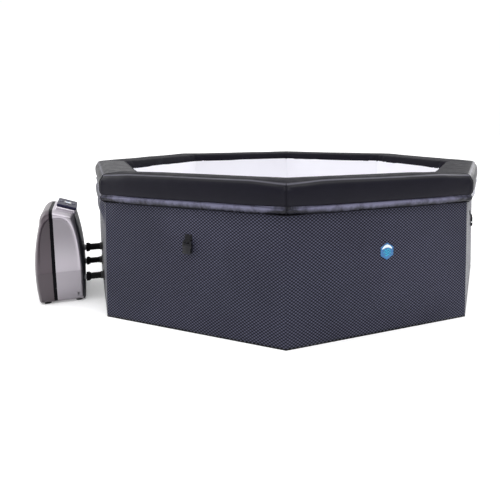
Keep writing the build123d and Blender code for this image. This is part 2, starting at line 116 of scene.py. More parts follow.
def bridge(bm, rings, lids=False):
    # Faces between closed rings of vertices, and a lid on each end
    for low, high in zip(rings, rings[1:]):
        for i in range(len(low)):
            j = (i + 1) % len(low)
            bm.faces.new((low[i], low[j], high[j], high[i]))
    if lids:
        bm.faces.new(list(reversed(rings[0])))
        bm.faces.new(rings[-1])


def addBox(bm, size, place, bevel, segments=1):
    # Box with rounded edges, sized along its own axes, put where the matrix says
    made = bmesh.ops.create_cube(bm, size=1.0)["verts"]
    bmesh.ops.scale(bm, vec=Vector(size) * mm, verts=made)
    edges = {e for v in made for e in v.link_edges}
    rounded = bmesh.ops.bevel(bm, geom=list(edges), offset=bevel * mm, segments=segments,
                              profile=0.5, affect="EDGES", clamp_overlap=True)
    made = list({v for f in rounded["faces"] for v in f.verts} | {v for v in made if v.is_valid})
    bmesh.ops.transform(bm, matrix=place, verts=made)


def addLathe(bm, profile, place, segments, ribs=0, ribDepth=0.0, ribRows=()):
    # Turned shape: profile of (distance along the matrix's z, radius), fluted on the rows named
    rings = []
    for row, (along, radius) in enumerate(profile):
        ring = []
        for i in range(segments):
            angle = 2 * pi * i / segments
            r = radius
            if row in ribRows:
                r -= ribDepth * (0.5 - 0.5 * cos(ribs * angle)) ** 2
            point = Vector((r * cos(angle), r * sin(angle), along))
            ring.append(bm.verts.new(place @ (point * mm)))
        rings.append(ring)
    bridge(bm, rings)


def addSlab(bm, width, depth, corner, levels, place):
    # Stack of rounded outlines: each level is (height, inset), with lids at both ends
    rings = []
    for height, inset in levels:
        r = max(0.4, corner - inset)
        reachX, reachY = width / 2 - inset - r, depth / 2 - inset - r
        ring = []
        for right, up, start in ((1, 1, 0), (-1, 1, 90), (-1, -1, 180), (1, -1, 270)):
            for i in range(9):
                a = radians(start + 90 * i / 8)
                point = Vector((right * reachX + r * cos(a), up * reachY + r * sin(a), height))
                ring.append(bm.verts.new(place @ (point * mm)))
        rings.append(ring)
    bridge(bm, rings, lids=True)


def axisMatrix(origin, direction):
    # Matrix whose z runs along a direction, with y as near upright as it can be
    z = Vector(direction).normalized()
    x = Vector((0, 0, 1)).cross(z).normalized()
    return Matrix.Translation(Vector(origin)) @ Matrix((x, z.cross(x), z)).transposed().to_4x4()


def wallFrame(degrees, along, height, proud=0):
    # x along the wall, y up, z away from the tub
    a = radians(degrees)
    normal, tangent = Vector((cos(a), sin(a), 0)), Vector((-sin(a), cos(a), 0))
    origin = normal * (wallOut + proud * mm) + tangent * along * mm
    return axisMatrix(origin + Vector((0, 0, height * mm)), normal)


class Shader:
    def __init__(self, name, colour, roughness, metallic=0.0):
        self.material = bpy.data.materials.new(name)
        self.material.use_nodes = True
        self.tree = self.material.node_tree
        self.surface = self.tree.nodes["Principled BSDF"]
        for key, value in (("Base Color", (*colour, 1)), ("Roughness", roughness), ("Metallic", metallic)):
            self.surface.inputs[key].default_value = value
        self.place = self.node("ShaderNodeTexCoord").outputs["Object"]

    def node(self, kind, **values):
        made = self.tree.nodes.new(kind)
        for key, value in values.items():
            setattr(made, key, value)
        return made

    def link(self, output, target):
        self.tree.links.new(output, target)

    def set(self, **values):
        for key, value in values.items():
            self.surface.inputs[key.replace("_", " ")].default_value = value

    def math(self, operation, a, b=0.0):
        made = self.node("ShaderNodeMath", operation=operation)
        for socket, value in zip(made.inputs, (a, b)):
            if isinstance(value, (int, float)):
                socket.default_value = value
            else:
                self.link(value, socket)
        return made.outputs[0]

    def noise(self, scale, detail=2.0, roughness=0.5, place=None):
        made = self.node("ShaderNodeTexNoise")
        for key, value in (("Scale", scale), ("Detail", detail), ("Roughness", roughness)):
            made.inputs[key].default_value = value
        self.link(place or self.place, made.inputs["Vector"])
        return made.outputs["Fac"]

    def cells(self, scale):
        made = self.node("ShaderNodeTexVoronoi")
        made.inputs["Scale"].default_value = scale
        self.link(self.place, made.inputs["Vector"])
        return made.outputs["Distance"]

    def wallPlace(self):
        # Coordinates laid on the wall, whole and apart: round it, down it, to the nearest corner
        spread = self.node("ShaderNodeAttribute", attribute_name="wallPlace").outputs["Vector"]
        parts = self.node("ShaderNodeSeparateXYZ")
        self.link(spread, parts.inputs[0])
        return spread, parts.outputs

    def remap(self, value, low, high, toLow, toHigh):
        made = self.node("ShaderNodeMapRange")
        for key, number in (("From Min", low), ("From Max", high), ("To Min", toLow), ("To Max", toHigh)):
            made.inputs[key].default_value = number
        self.link(value, made.inputs["Value"])
        return made.outputs["Result"]

    def spreadTo(self, pattern, low, high):
        return self.remap(pattern, 0.3, 0.7, low, high)  # noise seldom leaves 0.3 to 0.7

    def blendColours(self, factor, dark, light):
        made = self.node("ShaderNodeMix", data_type="RGBA")
        self.link(factor, made.inputs["Factor"])
        for socket, colour in ((made.inputs[6], dark), (made.inputs[7], light)):
            if isinstance(colour, tuple):
                socket.default_value = (*colour, 1)
            else:
                self.link(colour, socket)
        return made.outputs[2]

    def colour(self, factor, dark, light):
        self.link(self.blendColours(factor, dark, light), self.surface.inputs["Base Color"])

    def mottle(self, factor, colour, low, high):
        self.colour(factor, tint(colour, low), tint(colour, high))

    def rough(self, output):
        self.link(output, self.surface.inputs["Roughness"])

    def bump(self, height, strength, distance):
        made = self.node("ShaderNodeBump")
        made.inputs["Strength"].default_value = strength
        made.inputs["Distance"].default_value = distance
        self.link(height, made.inputs["Height"])
        if self.surface.inputs["Normal"].is_linked:
            self.link(self.surface.inputs["Normal"].links[0].from_socket, made.inputs["Normal"])
        self.link(made.outputs[0], self.surface.inputs["Normal"])


def leatherette(name, colour, roughness, shine):
    # Smooth vinyl with a fine hide grain and patchy polish
    s = Shader(name, colour, roughness)
    s.mottle(s.noise(9.0, 3.0), colour, 0.85, 1.18)
    s.rough(s.spreadTo(s.noise(34.0, 4.0), roughness - 0.06, roughness + 0.08))
    s.bump(s.cells(520.0), 0.22, 0.0006)
    s.bump(s.noise(60.0, 3.0), 0.12, 0.002)
    s.set(Specular_IOR_Level=shine)
    return s.material


knurl = {
    "dark": (0.002, 0.002, 0.005),
    "light": (0.110, 0.112, 0.176),
    "acrossPitch": 15.5 * mm,
    "upPitch": 11.7 * mm,
    "roughness": 0.50,
    "depth": 1.8 * mm,
}


def knurledCloth(name):
    # Staggered dark pits between raised lozenges, on coordinates laid along the wall
    s = Shader(name, knurl["light"], knurl["roughness"])
    parts = s.wallPlace()[1]
    across = s.math("DIVIDE", parts[0], knurl["acrossPitch"])
    up = s.math("DIVIDE", parts[1], knurl["upPitch"])
    waves = []
    for way in ("ADD", "SUBTRACT"):
        diagonal = s.math(way, across, up)
        waves.append(s.math("COSINE", s.math("MULTIPLY", diagonal, 2 * pi)))
    height = s.remap(s.math("ADD", *waves), 2.0, -2.0, 0.0, 1.0)
    shade = s.math("POWER", height, 2.0)
    wear = s.remap(s.noise(3.0, 4.0), 0.35, 0.65, 0.82, 1.08)
    s.colour(s.math("MULTIPLY", shade, wear), knurl["dark"], knurl["light"])
    s.rough(s.remap(height, 0.0, 1.0, 0.75, knurl["roughness"] - 0.06))
    s.bump(height, 0.6, knurl["depth"])
    s.bump(s.noise(900.0, 2.0), 0.15, 0.0004)
    s.set(Specular_IOR_Level=0.14, Sheen_Weight=0.35, Sheen_Roughness=0.25)
    return s.material


def linerVinyl(name, colour):
    # Smooth reinforced vinyl with a faint scrim print-through
    s = Shader(name, colour, 0.38)
    s.mottle(s.noise(2.2, 3.0), colour, 0.965, 1)
    s.rough(s.spreadTo(s.noise(14.0, 3.0), 0.32, 0.46))
    s.bump(s.noise(420.0, 1.0), 0.10, 0.0005)
    s.bump(s.noise(11.0, 2.0), 0.18, 0.004)
    return s.material


def plastic(name, colour, roughness=0.4, coat=0.0, shine=0.4):
    # Moulded plastic: spark-eroded grain, slight tone drift, scuffed polish
    s = Shader(name, colour, roughness)
    s.mottle(s.noise(18.0, 3.0), colour, 0.9, 1.06)
    s.rough(s.spreadTo(s.noise(55.0, 4.0), roughness - 0.05, roughness + 0.07))
    s.bump(s.noise(900.0, 2.0), 0.12, 0.0003)
    s.set(Coat_Weight=coat, Coat_Roughness=0.2, Specular_IOR_Level=shine)
    return s.material


def silverPaint(name, colour, metallic, roughness, depth=0.55):
    # Metallic lacquer: fine flake sparkle under a soft sheen, darkened by painted shade from a mesh attribute
    s = Shader(name, colour, roughness, metallic)
    flakes = s.cells(2600.0)
    base = s.blendColours(s.noise(5.0, 2.0), tint(colour, 0.95), tint(colour, 1.04))
    shade = s.node("ShaderNodeAttribute", attribute_name="paintedShade")
    # painted shade: the attribute mixes the lacquer towards its darker tint, as far as depth says
    s.colour(shade.outputs["Fac"], base, tint(colour, 1 - depth))
    s.rough(s.remap(flakes, 0.0, 0.8, roughness - 0.05, roughness + 0.06))
    s.bump(flakes, 0.05, 0.0001)
    s.set(Coat_Weight=0.15, Coat_Roughness=0.25)
    return s.material


def rubber(name, colour, roughness):
    s = Shader(name, colour, roughness)
    s.mottle(s.noise(40.0, 4.0), colour, 0.8, 1.3)
    s.rough(s.spreadTo(s.noise(90.0, 3.0), roughness - 0.08, roughness + 0.1))
    s.bump(s.noise(1400.0, 2.0), 0.15, 0.0003)
    s.set(Specular_IOR_Level=0.12)
    return s.material


def webbing(name, colour):
    # Woven tape: ribs across, fine warp along
    s = Shader(name, colour, 0.8)
    ribs = s.node("ShaderNodeTexWave", wave_type="BANDS", bands_direction="Z")
    ribs.inputs["Scale"].default_value = 260.0
    ribs.inputs["Distortion"].default_value = 1.5
    s.link(s.place, ribs.inputs["Vector"])
    s.mottle(ribs.outputs["Fac"], colour, 0.5, 1.7)
    s.bump(ribs.outputs["Fac"], 0.5, 0.0008)
    s.bump(s.noise(1800.0, 2.0), 0.2, 0.0003)
    s.set(Sheen_Weight=0.08, Sheen_Roughness=0.5, Specular_IOR_Level=0.15)
    return s.material


def steel(name, colour):
    # Drawn metal: lines stretched along one way
    s = Shader(name, colour, 0.3, 1.0)
    mapping = s.node("ShaderNodeMapping")
    mapping.inputs["Scale"].default_value = (1, 40, 1)
    s.link(s.place, mapping.inputs["Vector"])
    lines = s.noise(60.0, 3.0, place=mapping.outputs[0])
    s.rough(s.spreadTo(lines, 0.22, 0.42))
    s.bump(lines, 0.1, 0.0002)
    return s.material


def foamFill(name, colour):
    s = Shader(name, colour, 0.9)
    pores = s.cells(700.0)
    s.mottle(pores, colour, 0.8, 1)
    s.bump(pores, 0.5, 0.001)
    return s.material


def glow(name, colour, strength):
    s = Shader(name, (0.02, 0.02, 0.03), 0.3)
    s.set(Emission_Color=(*colour, 1), Emission_Strength=strength)
    s.bump(s.noise(600.0), 0.05, 0.0002)
    return s.material


def darkGlass(name, colour):
    s = Shader(name, colour, 0.08)
    s.rough(s.spreadTo(s.noise(30.0, 3.0), 0.05, 0.13))
    s.set(Coat_Weight=0.6, Coat_Roughness=0.05)
    return s.material


print("stage: materials")
rimSkin = leatherette("rimSkin", (0.009, 0.0085, 0.014), 0.42, 0.10)
topSkin = leatherette("topSkin", (0.010, 0.0095, 0.014), 0.55, 0.05)
# Near-black skin along the hem: a painted contact shadow under the band
hemPaintedShadow = leatherette("hemPaintedShadow", (0.004, 0.004, 0.006), 0.6, 0.05)
backPlastic = plastic("backPlastic", (0.020, 0.020, 0.026), 0.45, shine=0.25)
threadGrey = webbing("threadGrey", (0.030, 0.029, 0.038))
badgeTeal = plastic("badgeTeal", (0.010, 0.36, 0.55), 0.3)
badgeWhite = plastic("badgeWhite", (0.78, 0.88, 0.95), 0.3)
lensGlow = glow("lensGlow", (0.75, 0.85, 1.0), 1.2)
iconWhite = plastic("iconWhite", (0.85, 0.86, 0.92), 0.45)
blackPlastic = plastic("blackPlastic", (0.003, 0.0028, 0.0045), 0.42, shine=0.05)

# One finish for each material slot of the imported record
slotFinish = {
    "rim_leatherette": rimSkin,
    "knurled_jacket": knurledCloth("jacketCloth"),
    "white_liner": linerVinyl("linerSkin", (0.88, 0.875, 0.92)),
    # both shells take painted shade from the case mesh; the mauve's last number is how dark it gets
    "silver_shell": silverPaint("silverShell", (0.58, 0.54, 0.597), 0.6, 0.34),
    "mauve_shell": silverPaint("mauveShell", (0.098, 0.077, 0.092), 0.35, 0.34, 0.42),
    "black_shell": blackPlastic,
    "union_plastic": blackPlastic,
    "panel_plastic": plastic("panelPlastic", (0.020, 0.019, 0.045), 0.36, shine=0.07),
    "hose_rubber": rubber("hoseRubber", (0.004, 0.004, 0.005), 0.38),
    "black_webbing": webbing("tapeBlack", (0.010, 0.010, 0.012)),
    "buckle_plastic": plastic("bucklePlastic", (0.010, 0.010, 0.013), 0.4, shine=0.25),
    "badge_blue": plastic("badgeBlue", (0.004, 0.135, 0.36), 0.22, coat=0.4),
    "air_panel_pvc": rubber("panelPvc", (0.05, 0.05, 0.06), 0.5),
    "rim_foam": foamFill("rimFoam", (0.75, 0.74, 0.70)),
    "base_fabric": rubber("baseSheet", (0.010, 0.010, 0.012), 0.6),
    "mat_foam": foamFill("matFoam", (0.25, 0.30, 0.34)),
    "fitting_plastic": plastic("fittingPlastic", (0.016, 0.016, 0.018)),
    "filter_plastic": plastic("filterPlastic", (0.70, 0.73, 0.77)),
    "filter_paper": foamFill("filterPaper", (0.85, 0.85, 0.82)),
    "foot_rubber": rubber("footRubber", (0.012, 0.012, 0.012), 0.7),
    "screw_steel": steel("screwSteel", (0.16, 0.16, 0.17)),
    "display_glass": darkGlass("displayGlass", (0.01, 0.012, 0.03)),
    "board_laminate": plastic("boardLaminate", (0.02, 0.16, 0.06), 0.45),
    "button_plastic": plastic("buttonPlastic", (0.07, 0.07, 0.11), 0.35),
    "motor_housing": plastic("motorHousing", (0.05, 0.05, 0.055), 0.5),
    "rotor_plastic": plastic("rotorPlastic", (0.55, 0.55, 0.52)),
    "heater_steel": steel("heaterSteel", (0.55, 0.55, 0.57)),
    "pipe_plastic": plastic("pipePlastic", (0.16, 0.165, 0.18), 0.45),
}
for part in frame["record"]["subparts"]:
    for materialSlot in frame["nodes"][part["node"]].material_slots:
        materialSlot.material = slotFinish[part["material_slot"]]


def finishOf(slot):
    return slotFinish[slot], slot


def columnsOfSide(halfLength, spacing):
    # Fractions along a side, from corner to corner, dense beside the corners
    fine = [v * mm for v in (0.0, 1.2, 2.6, 4.4, 6.8, 10, 14, 19.5, 27, 37, 50)]
    count = max(2, int((halfLength - fine[-1]) / spacing))
    step = (halfLength - fine[-1]) / count
    left = [-1 + v / halfLength for v in fine + [fine[-1] + step * i for i in range(1, count + 1)]]
    return left + [-f for f in reversed(left[:-1])][:-1]


def ringSpot(side, fraction, out, radius):
    # Point and outward direction on the octagon at a distance from the middle, corners rounded
    angle = side * sideAngle
    half = out * turn
    along = fraction * half
    cornerStart = half - radius * turn
    x, y, lean = out, along, 0.0
    if abs(along) > cornerStart and radius > 0:
        lean = (abs(along) - cornerStart) / (half - cornerStart) * sideAngle / 2
        x = out - radius + radius * cos(lean)
        y = copysign(cornerStart + radius * sin(lean), along)
        lean = copysign(lean, along)
    c, s = cos(angle), sin(angle)
    facing = angle + lean
    return Vector((x * c - y * s, x * s + y * c, 0)), Vector((cos(facing), sin(facing), 0))


def octagonRing(name, profile, radius, spacing, shape, slot, *nodes):
    # Sweeps a profile of (distance, height) round the octagon; shape gives the push along the
    # surface's normal and the lift of each point
    half = max(out for out, z in profile) * turn
    fractions = columnsOfSide(half, spacing)
    lengths = [0.0]
    for (o1, z1), (o2, z2) in zip(profile, profile[1:]):
        lengths.append(lengths[-1] + hypot(o2 - o1, z2 - z1))
    verts, places = [], []
    rows = len(profile)
    for side in range(sides):
        for fraction in fractions:
            across, along = fraction * half, (2 * side + fraction) * half
            for row, (out, z) in enumerate(profile):
                before, after = profile[max(0, row - 1)], profile[min(rows - 1, row + 1)]
                run, rise = after[0] - before[0], after[1] - before[1]
                size = hypot(run, rise) or 1.0
                spot, outward = ringSpot(side, fraction, out, radius)
                normal = outward * (-rise / size) + Vector((0, 0, run / size))
                push, lift = shape(side, across, lengths[row], out, z, along)
                spot.z = z
                verts.append(spot + normal * push + Vector((0, 0, lift)))
                places += (along, lengths[row], half - abs(across))
    columns = sides * len(fractions)
    faces = []
    for c in range(columns):
        here, there = c * rows, (c + 1) % columns * rows
        faces += [(here + row, here + row + 1, there + row + 1, there + row) for row in range(rows - 1)]
    mesh = bpy.data.meshes.new(name)
    mesh.from_pydata(verts, [], faces)
    mesh.validate()
    mesh.update()
    mesh.shade_smooth()
    mesh.attributes.new("wallPlace", "FLOAT_VECTOR", "POINT").data.foreach_set("vector", places)
    return addPiece(name, mesh, *finishOf(slot), nodes)


def spline(points, steps):
    # Catmull-Rom curve through points, end points kept
    full = [points[0]] + list(points) + [points[-1]]
    made = []
    for i in range(1, len(full) - 2):
        p0, p1, p2, p3 = (Vector(p) for p in full[i - 1:i + 3])
        for k in range(steps):
            t = k / steps
            a = 2 * p1 + (p2 - p0) * t
            b = (2 * p0 - 5 * p1 + 4 * p2 - p3) * t * t
            c = (3 * p1 - p0 - 3 * p2 + p3) * t * t * t
            made.append(tuple((a + b + c) * 0.5))
    made.append(tuple(points[-1]))
    return made


print("stage: rim")
# Distances are from the wall's face, heights from the rim's top, in millimetres
rim = {
    "section": [
        (-144, -49), (-145, -34), (-144, -22), (-140, -12), (-131, -6), (-112, -2.8), (-80, -0.8), (-50, 0.6),
        (-26, 0.8), (-8, -0.6), (6, -3.8), (16, -9), (23, -17), (26.5, -28), (28, -44), (28.2, -60),
        (27.2, -72), (25, -81), (22, -86), (18.6, -88), (21, -89.6), (25, -92.5), (26.2, -97), (25.4, -102),
        (22.5, -108), (17.5, -113.5), (11, -117.5), (5, -120.4), (1.2, -120.6), (0.6, -116),
    ],
    "creaseDrop": 88,
    "hemDrop": 115.5,
    # Band colours: painted highlight at the crease, painted shade at the hem, and the strength of the painted
    # streaks
    "band": {"light": (0.150, 0.148, 0.225), "dark": (0.010, 0.010, 0.016), "paintedStreak": 0.40},
    # painted highlight colour on the outer top edge, and the dark face colour under it
    "edge": {"light": (0.120, 0.117, 0.148), "dark": (0.010, 0.0095, 0.014)},
    "edgeStrip": (0.7, 13.0),  # stretch of painted highlight over the outer top edge
    "edgePeak": 4.6,
    "puff": 5.0,
    "pipingRadius": 1.0,
    "cornerRadius": 26,
    "spacing": 9,
    "wave": 1.1,
    "bandWrinkle": 2.4,
    "pucker": 2.6,
    "seamDepth": 1.3,
    "dimple": 4.5,
    "dimpleAt": (13, 12),  # depth below the top, and reach
    "sideShift": (0, 0, 0, 0, -6, 0, 0, 0),  # by side, from +X anticlockwise
    "sideCrown": (0, -1, -1, 0, 1, 5, 5, 0),
}


def rimPuff(outward, drop):
    return rim["puff"] * smooth(-60, 10, outward) * smooth(1, 12, drop)


def dimpleBell(drop):
    return rim["dimple"] * bell(drop - rim["dimpleAt"][0], rim["dimpleAt"][1])


def rimShape(side, across, length, out, z, along):
    drop, outward = (rimTop - z) / mm, (out - wallOut) / mm
    toCorner = (out * turn - abs(across)) / mm
    isBand = smooth(rim["creaseDrop"], rim["creaseDrop"] + 6, drop) * (1 - 0.75 * smooth(106, 119, drop))
    outerFace = smooth(4, 20, drop)
    calm = smooth(-140, -90, outward)
    push = rim["wave"] * (0.15 + 0.85 * calm) * fuzz(along * 4.5, length * 7, 1.0, 2)
    push += 0.35 * calm * fuzz(along * 26, length * 20, 2.0)
    # Gathers in the loose band: slanting creases, stronger beside the corners
    slant = along * 38 + length * 26 * copysign(1, across)
    folds = fuzz(slant + 3 * fuzz(along * 5, 0, 9.0), length * 20, 3.0)
    folds += 0.6 * fuzz(slant * 2.1, length * 30, 4.0)
    gather = 0.45 + 0.45 * max(0, fuzz(along * 2.6, 0, 5.0)) + exp(-toCorner / 70)
    push += isBand * rim["bandWrinkle"] * gather * folds
    # Star of puckers round the top of each mitre seam, and the seam's own groove and dimple
    ray = atan2(drop - 16, toCorner + 4)
    star = fuzz(ray * 5.5, toCorner / 60, 6.0 + side) * smooth(2, 14, toCorner)
    push += bell(toCorner, 46) * rim["pucker"] * outerFace * star
    push -= rim["seamDepth"] * bell(toCorner, 4.5) * (0.5 + 0.5 * outerFace)
    push -= dimpleBell(drop) * bell(toCorner, 20) * outerFace
    push += bell(toCorner - 9, 6) * outerFace
    push += (smooth(0, 150, toCorner) - 1) * rimPuff(outward, drop)
    push += rim["sideShift"][side] * smooth(-20, 0, outward) * smooth(0, 90, toCorner)
    # A corner's crown is the mean of its two sides
    crowns, ownShare = rim["sideCrown"], smooth(0, 150, toCorner)
    beside = (crowns[side] + crowns[(side + (1 if across > 0 else -1)) % sides]) / 2
    beside *= 1 - smooth(-70, 0, outward)
    lift = (crowns[side] * ownShare + beside * (1 - ownShare)) * (1 - smooth(8, 45, drop))
    return push * mm, lift * mm


rimProfile = [(wallOut + o * mm, rimTop + d * mm) for o, d in spline(rim["section"], 3)]


def lengthAt(drop):
    # Distance along the profile where its outer side passes a depth below the top
    run = 0.0
    for (o1, z1), (o2, z2) in zip(rimProfile, rimProfile[1:]):
        run += hypot(o2 - o1, z2 - z1)
        if o2 > wallOut and (rimTop - z2) / mm >= drop:
            break
    return run


def looseBand(name):
    # Painted highlight at the crease, fading to painted shade near black at the hem, with painted highlight
    # streaks on the gathers
    look = rim["band"]
    s = Shader(name, look["light"], 0.3)
    spread, parts = s.wallPlace()
    fall = s.remap(parts[1], lengthAt(rim["creaseDrop"] + 6), lengthAt(rim["hemDrop"] - 5), 0.0, 1.0)
    fall = s.math("ADD", fall, s.remap(parts[2], 10 * mm, 85 * mm, 0.75, 0.0))  # painted shade by the corners
    # painted highlight streaks along the gathers
    paintedStreaks = s.noise(13.0, 4.0, 0.6, spread)
    fall = s.math("ADD", fall, s.spreadTo(paintedStreaks, look["paintedStreak"], -look["paintedStreak"]))
    # painted light and shade on the pleats
    paintedPleats = s.noise(42.0, 3.0, 0.6, spread)
    fall = s.math("ADD", fall, s.spreadTo(paintedPleats, 0.26, -0.20))
    fall = s.math("MINIMUM", s.math("MAXIMUM", fall, 0.0), 1.0)
    s.colour(s.math("POWER", fall, 0.8), look["light"], look["dark"])
    s.rough(s.spreadTo(s.noise(34.0, 4.0), 0.24, 0.38))
    s.bump(s.cells(520.0), 0.2, 0.0005)
    s.bump(s.noise(24.0, 3.0, 0.6, spread), 0.5, 0.006)
    s.set(Specular_IOR_Level=0.2)
    return s.material


def paintedEdgeHighlight(name):
    # Painted highlight that swells towards the outer top edge and drops away down the face
    look = rim["edge"]
    s = Shader(name, look["dark"], 0.4)
    spread, parts = s.wallPlace()
    peak = lengthAt(rim["edgePeak"])
    rise = s.remap(parts[1], peak - 11 * mm, peak, 0.0, 1.0)
    fall = s.remap(parts[1], peak + 0.5 * mm, peak + 6.5 * mm, 1.0, 0.0)
    # the painted highlight broken into patches
    highlightPatches = s.spreadTo(s.noise(8.0, 3.0, 0.6, spread), 0.55, 1.0)
    share = s.math("MULTIPLY", s.math("POWER", rise, 1.6), s.math("POWER", fall, 1.4))
    s.colour(s.math("MULTIPLY", share, highlightPatches), look["dark"], look["light"])
    s.rough(s.spreadTo(s.noise(34.0, 4.0), 0.36, 0.5))
    s.bump(s.cells(520.0), 0.22, 0.0006)
    s.bump(s.noise(60.0, 3.0), 0.12, 0.002)
    s.set(Specular_IOR_Level=0.16)
    return s.material


rimCover = octagonRing("rimCover", rimProfile, rim["cornerRadius"] * mm, rim["spacing"] * mm, rimShape,
                       "rim_leatherette", "rim_cover", "rim_foam")
# the band and edge skins carry painted light and shade; the hem skin is a painted shadow
for skin in (looseBand("bandSkin"), paintedEdgeHighlight("edgeSkin"), hemPaintedShadow, topSkin):
    rimCover.data.materials.append(skin)
faceSkin, bandRow, edgeRow, hemShadowRow, topRow, innerRow = range(6)  # the rim's materials, by profile row
pumpSide = 4


def rowSkin(out, drop):
    if -128 < out < 0 and drop < 6 or abs(drop) < rim["edgeStrip"][0]:
        return topRow
    if out < 0:
        return innerRow
    if drop < rim["edgeStrip"][1]:
        return edgeRow
    if drop < rim["creaseDrop"]:
        return faceSkin
    # rows below the hem take the painted shadow
    return bandRow if drop < rim["hemDrop"] else hemShadowRow


rowFinish = [rowSkin(((o1 + o2) / 2 - wallOut) / mm, (rimTop - (z1 + z2) / 2) / mm)
             for (o1, z1), (o2, z2) in zip(rimProfile, rimProfile[1:])]
for face in rimCover.data.polygons:
    finish = rowFinish[face.index % len(rowFinish)]
    side = round(atan2(face.center.y, face.center.x) / sideAngle) % sides
    face.material_index = faceSkin if finish == topRow and side == pumpSide else min(finish, topRow)
thicken(rimCover, clothThick)

# Piping down the mitre seam at each corner
bm = bmesh.new()
for side in range(sides):
    path = []
    for out, z in rimProfile[::2]:
        outward, drop = (out - wallOut) / mm, (rimTop - z) / mm
        if drop > rim["hemDrop"] + 3 or outward < -120:
            continue
        spot, facing = ringSpot(side, 1.0, out, rim["cornerRadius"] * mm)
        pulled = rimPuff(outward, drop) + rim["seamDepth"] * 0.75 + dimpleBell(drop)
        down = smooth(0, 20, drop)
        spot = spot - facing * pulled * mm * down
        path.append((spot + Vector((0, 0, z - rim["seamDepth"] * mm * 0.6 * (1 - down))), facing))
    rings = []
    for i, (spot, facing) in enumerate(path):
        ahead = (path[min(i + 1, len(path) - 1)][0] - path[max(i - 1, 0)][0]).normalized()
        sidewards = ahead.cross(facing).normalized()
        lift = sidewards.cross(ahead)
        around = [sidewards * cos(2 * pi * k / 8) + lift * sin(2 * pi * k / 8) for k in range(8)]
        rings.append([bm.verts.new(spot + way * rim["pipingRadius"] * mm) for way in around])
    bridge(bm, rings, lids=True)
fromBmesh("seamPiping", bm, topSkin, "rim_leatherette")

print("stage: jacket")
jacket = {
    "rows": 46,
    "spacing": 11,
    "cornerRadius": 7,
    "wave": 1.3,
    "sideBulge": (18, 9, 5, 9, 20, 6, 3, 4),  # by side, from +X anticlockwise, under the rim
    "foldSides": (4, 0),
    "foldHeight": 9,
    "hemUnderFlange": 4,
}
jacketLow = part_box("outer_jacket")[0].z
jacketHigh = rimLow.z + 26 * mm


def jacketShape(side, across, length, out, z, along):
    toCorner = (out * turn - abs(across)) / mm
    inside = smooth(0, 60, toCorner)
    nearTop = smooth(0.36, rimLow.z - 0.02, z)
    push = jacket["sideBulge"][side] * nearTop * inside * (0.9 + 0.25 * fuzz(along * 6, z * 2, 21.0))
    push += jacket["wave"] * (0.4 + inside) * fuzz(along * 3.2, z * 3.5, 22.0, 2)
    push += 0.5 * fuzz(along * 17, z * 6, 23.0)
    if side in jacket["foldSides"]:
        fold = fuzz(along * 9.5 + 0.6 * fuzz(z * 5, 0, 24.0), z * 1.4, 25.0)
        push += jacket["foldHeight"] * inside * (0.25 + 0.9 * abs(fold)) * smooth(0.02, 0.2, z)
    push -= 0.6 * (1 - smooth(0.0, 0.022, z - jacketLow))  # drawn in at the hem
    push *= 1 - smooth(rimLow.z - 1 * mm, jacketHigh - 8 * mm, z)  # flat where the rim hides it
    return max(push, -1.0) * mm, 0.0


jacketDrop = (jacketLow - jacketHigh) / jacket["rows"]
jacketProfile = [(wallOut, jacketHigh + jacketDrop * i) for i in range(jacket["rows"] + 1)]
outerJacket = octagonRing("outerJacket", jacketProfile, jacket["cornerRadius"] * mm, jacket["spacing"] * mm,
                          jacketShape, "knurled_jacket", "outer_jacket")


def cutOpening(piece, node):
    # Opens the cloth behind a fitting on the back wall, leaving a hem under its flange
    low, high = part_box(node)
    spot, radius = (low + high) / 2, (high.x - low.x) / 2 - jacket["hemUnderFlange"] * mm
    bm = bmesh.new()
    bm.from_mesh(piece.data)

    def facesWithin(reach):
        centres = [(f, f.calc_center_median()) for f in bm.faces]
        return [f for f, c in centres
                if c.y > wallOut - 0.05 and hypot(c.x - spot.x, c.z - spot.z) < reach]

    edges = {e for f in facesWithin(radius + 14 * mm) for e in f.edges}
    bmesh.ops.subdivide_edges(bm, edges=list(edges), cuts=5, use_grid_fill=True)
    bmesh.ops.delete(bm, geom=facesWithin(radius), context="FACES")
    bm.to_mesh(piece.data)
    bm.free()


for node in ("inflation_valve", "drain_valve"):
    cutOpening(outerJacket, node)
thicken(outerJacket, clothThick)

print("stage: liner")
liner = {
    "topDrop": 46, "coveRadius": 14, "cornerRadius": 12,
    "rows": 34, "coveRows": 6, "floorRings": 40, "spacing": 16,
}
linerTop = rimTop - liner["topDrop"] * mm
cove = liner["coveRadius"] * mm
wallDrop = floorTop + cove - linerTop
linerProfile = [(linerIn, linerTop + wallDrop * i / liner["rows"]) for i in range(liner["rows"] + 1)]
for i in range(1, liner["coveRows"] + 1):
    bend = pi / 2 * i / liner["coveRows"]
    linerProfile.append((linerIn - cove * (1 - cos(bend)), floorTop + cove * (1 - sin(bend))))
for i in range(1, liner["floorRings"]):
    linerProfile.append(((linerIn - cove) * (1 - i / liner["floorRings"]), floorTop))
linerProfile.append((0.6 * mm, floorTop))
linerProfile.reverse()


def linerShape(side, across, length, out, z, along):
    if z <= floorTop + 1e-6:
        swell = sin(clamp(out / linerIn) * pi)
        spot = ringSpot(side, clamp(across / (out * turn + 1e-9), -1, 1), out, 0)[0]
        push = 1.2 + 1.4 * swell * (0.5 + fuzz(spot.x * 3.4, spot.y * 3.4, 33.0, 2))
    else:
        toCorner = (out * turn - abs(across)) / mm
        onWall = smooth(floorTop + cove, floorTop + 3 * cove, z)
        push = 0.9 * fuzz(along * 3.0, z * 4, 31.0, 2) + 1.0
        push += 1.6 * (1 - onWall) * abs(fuzz(along * 15, z * 30, 32.0))
        push -= 0.8 * bell(toCorner, 3.0) * onWall
    return max(push, 0.1) * mm, 0.0


octagonRing("linerTub", linerProfile, liner["cornerRadius"] * mm, liner["spacing"] * mm, linerShape,
            "white_liner", "liner")

print("stage: pump unit case")
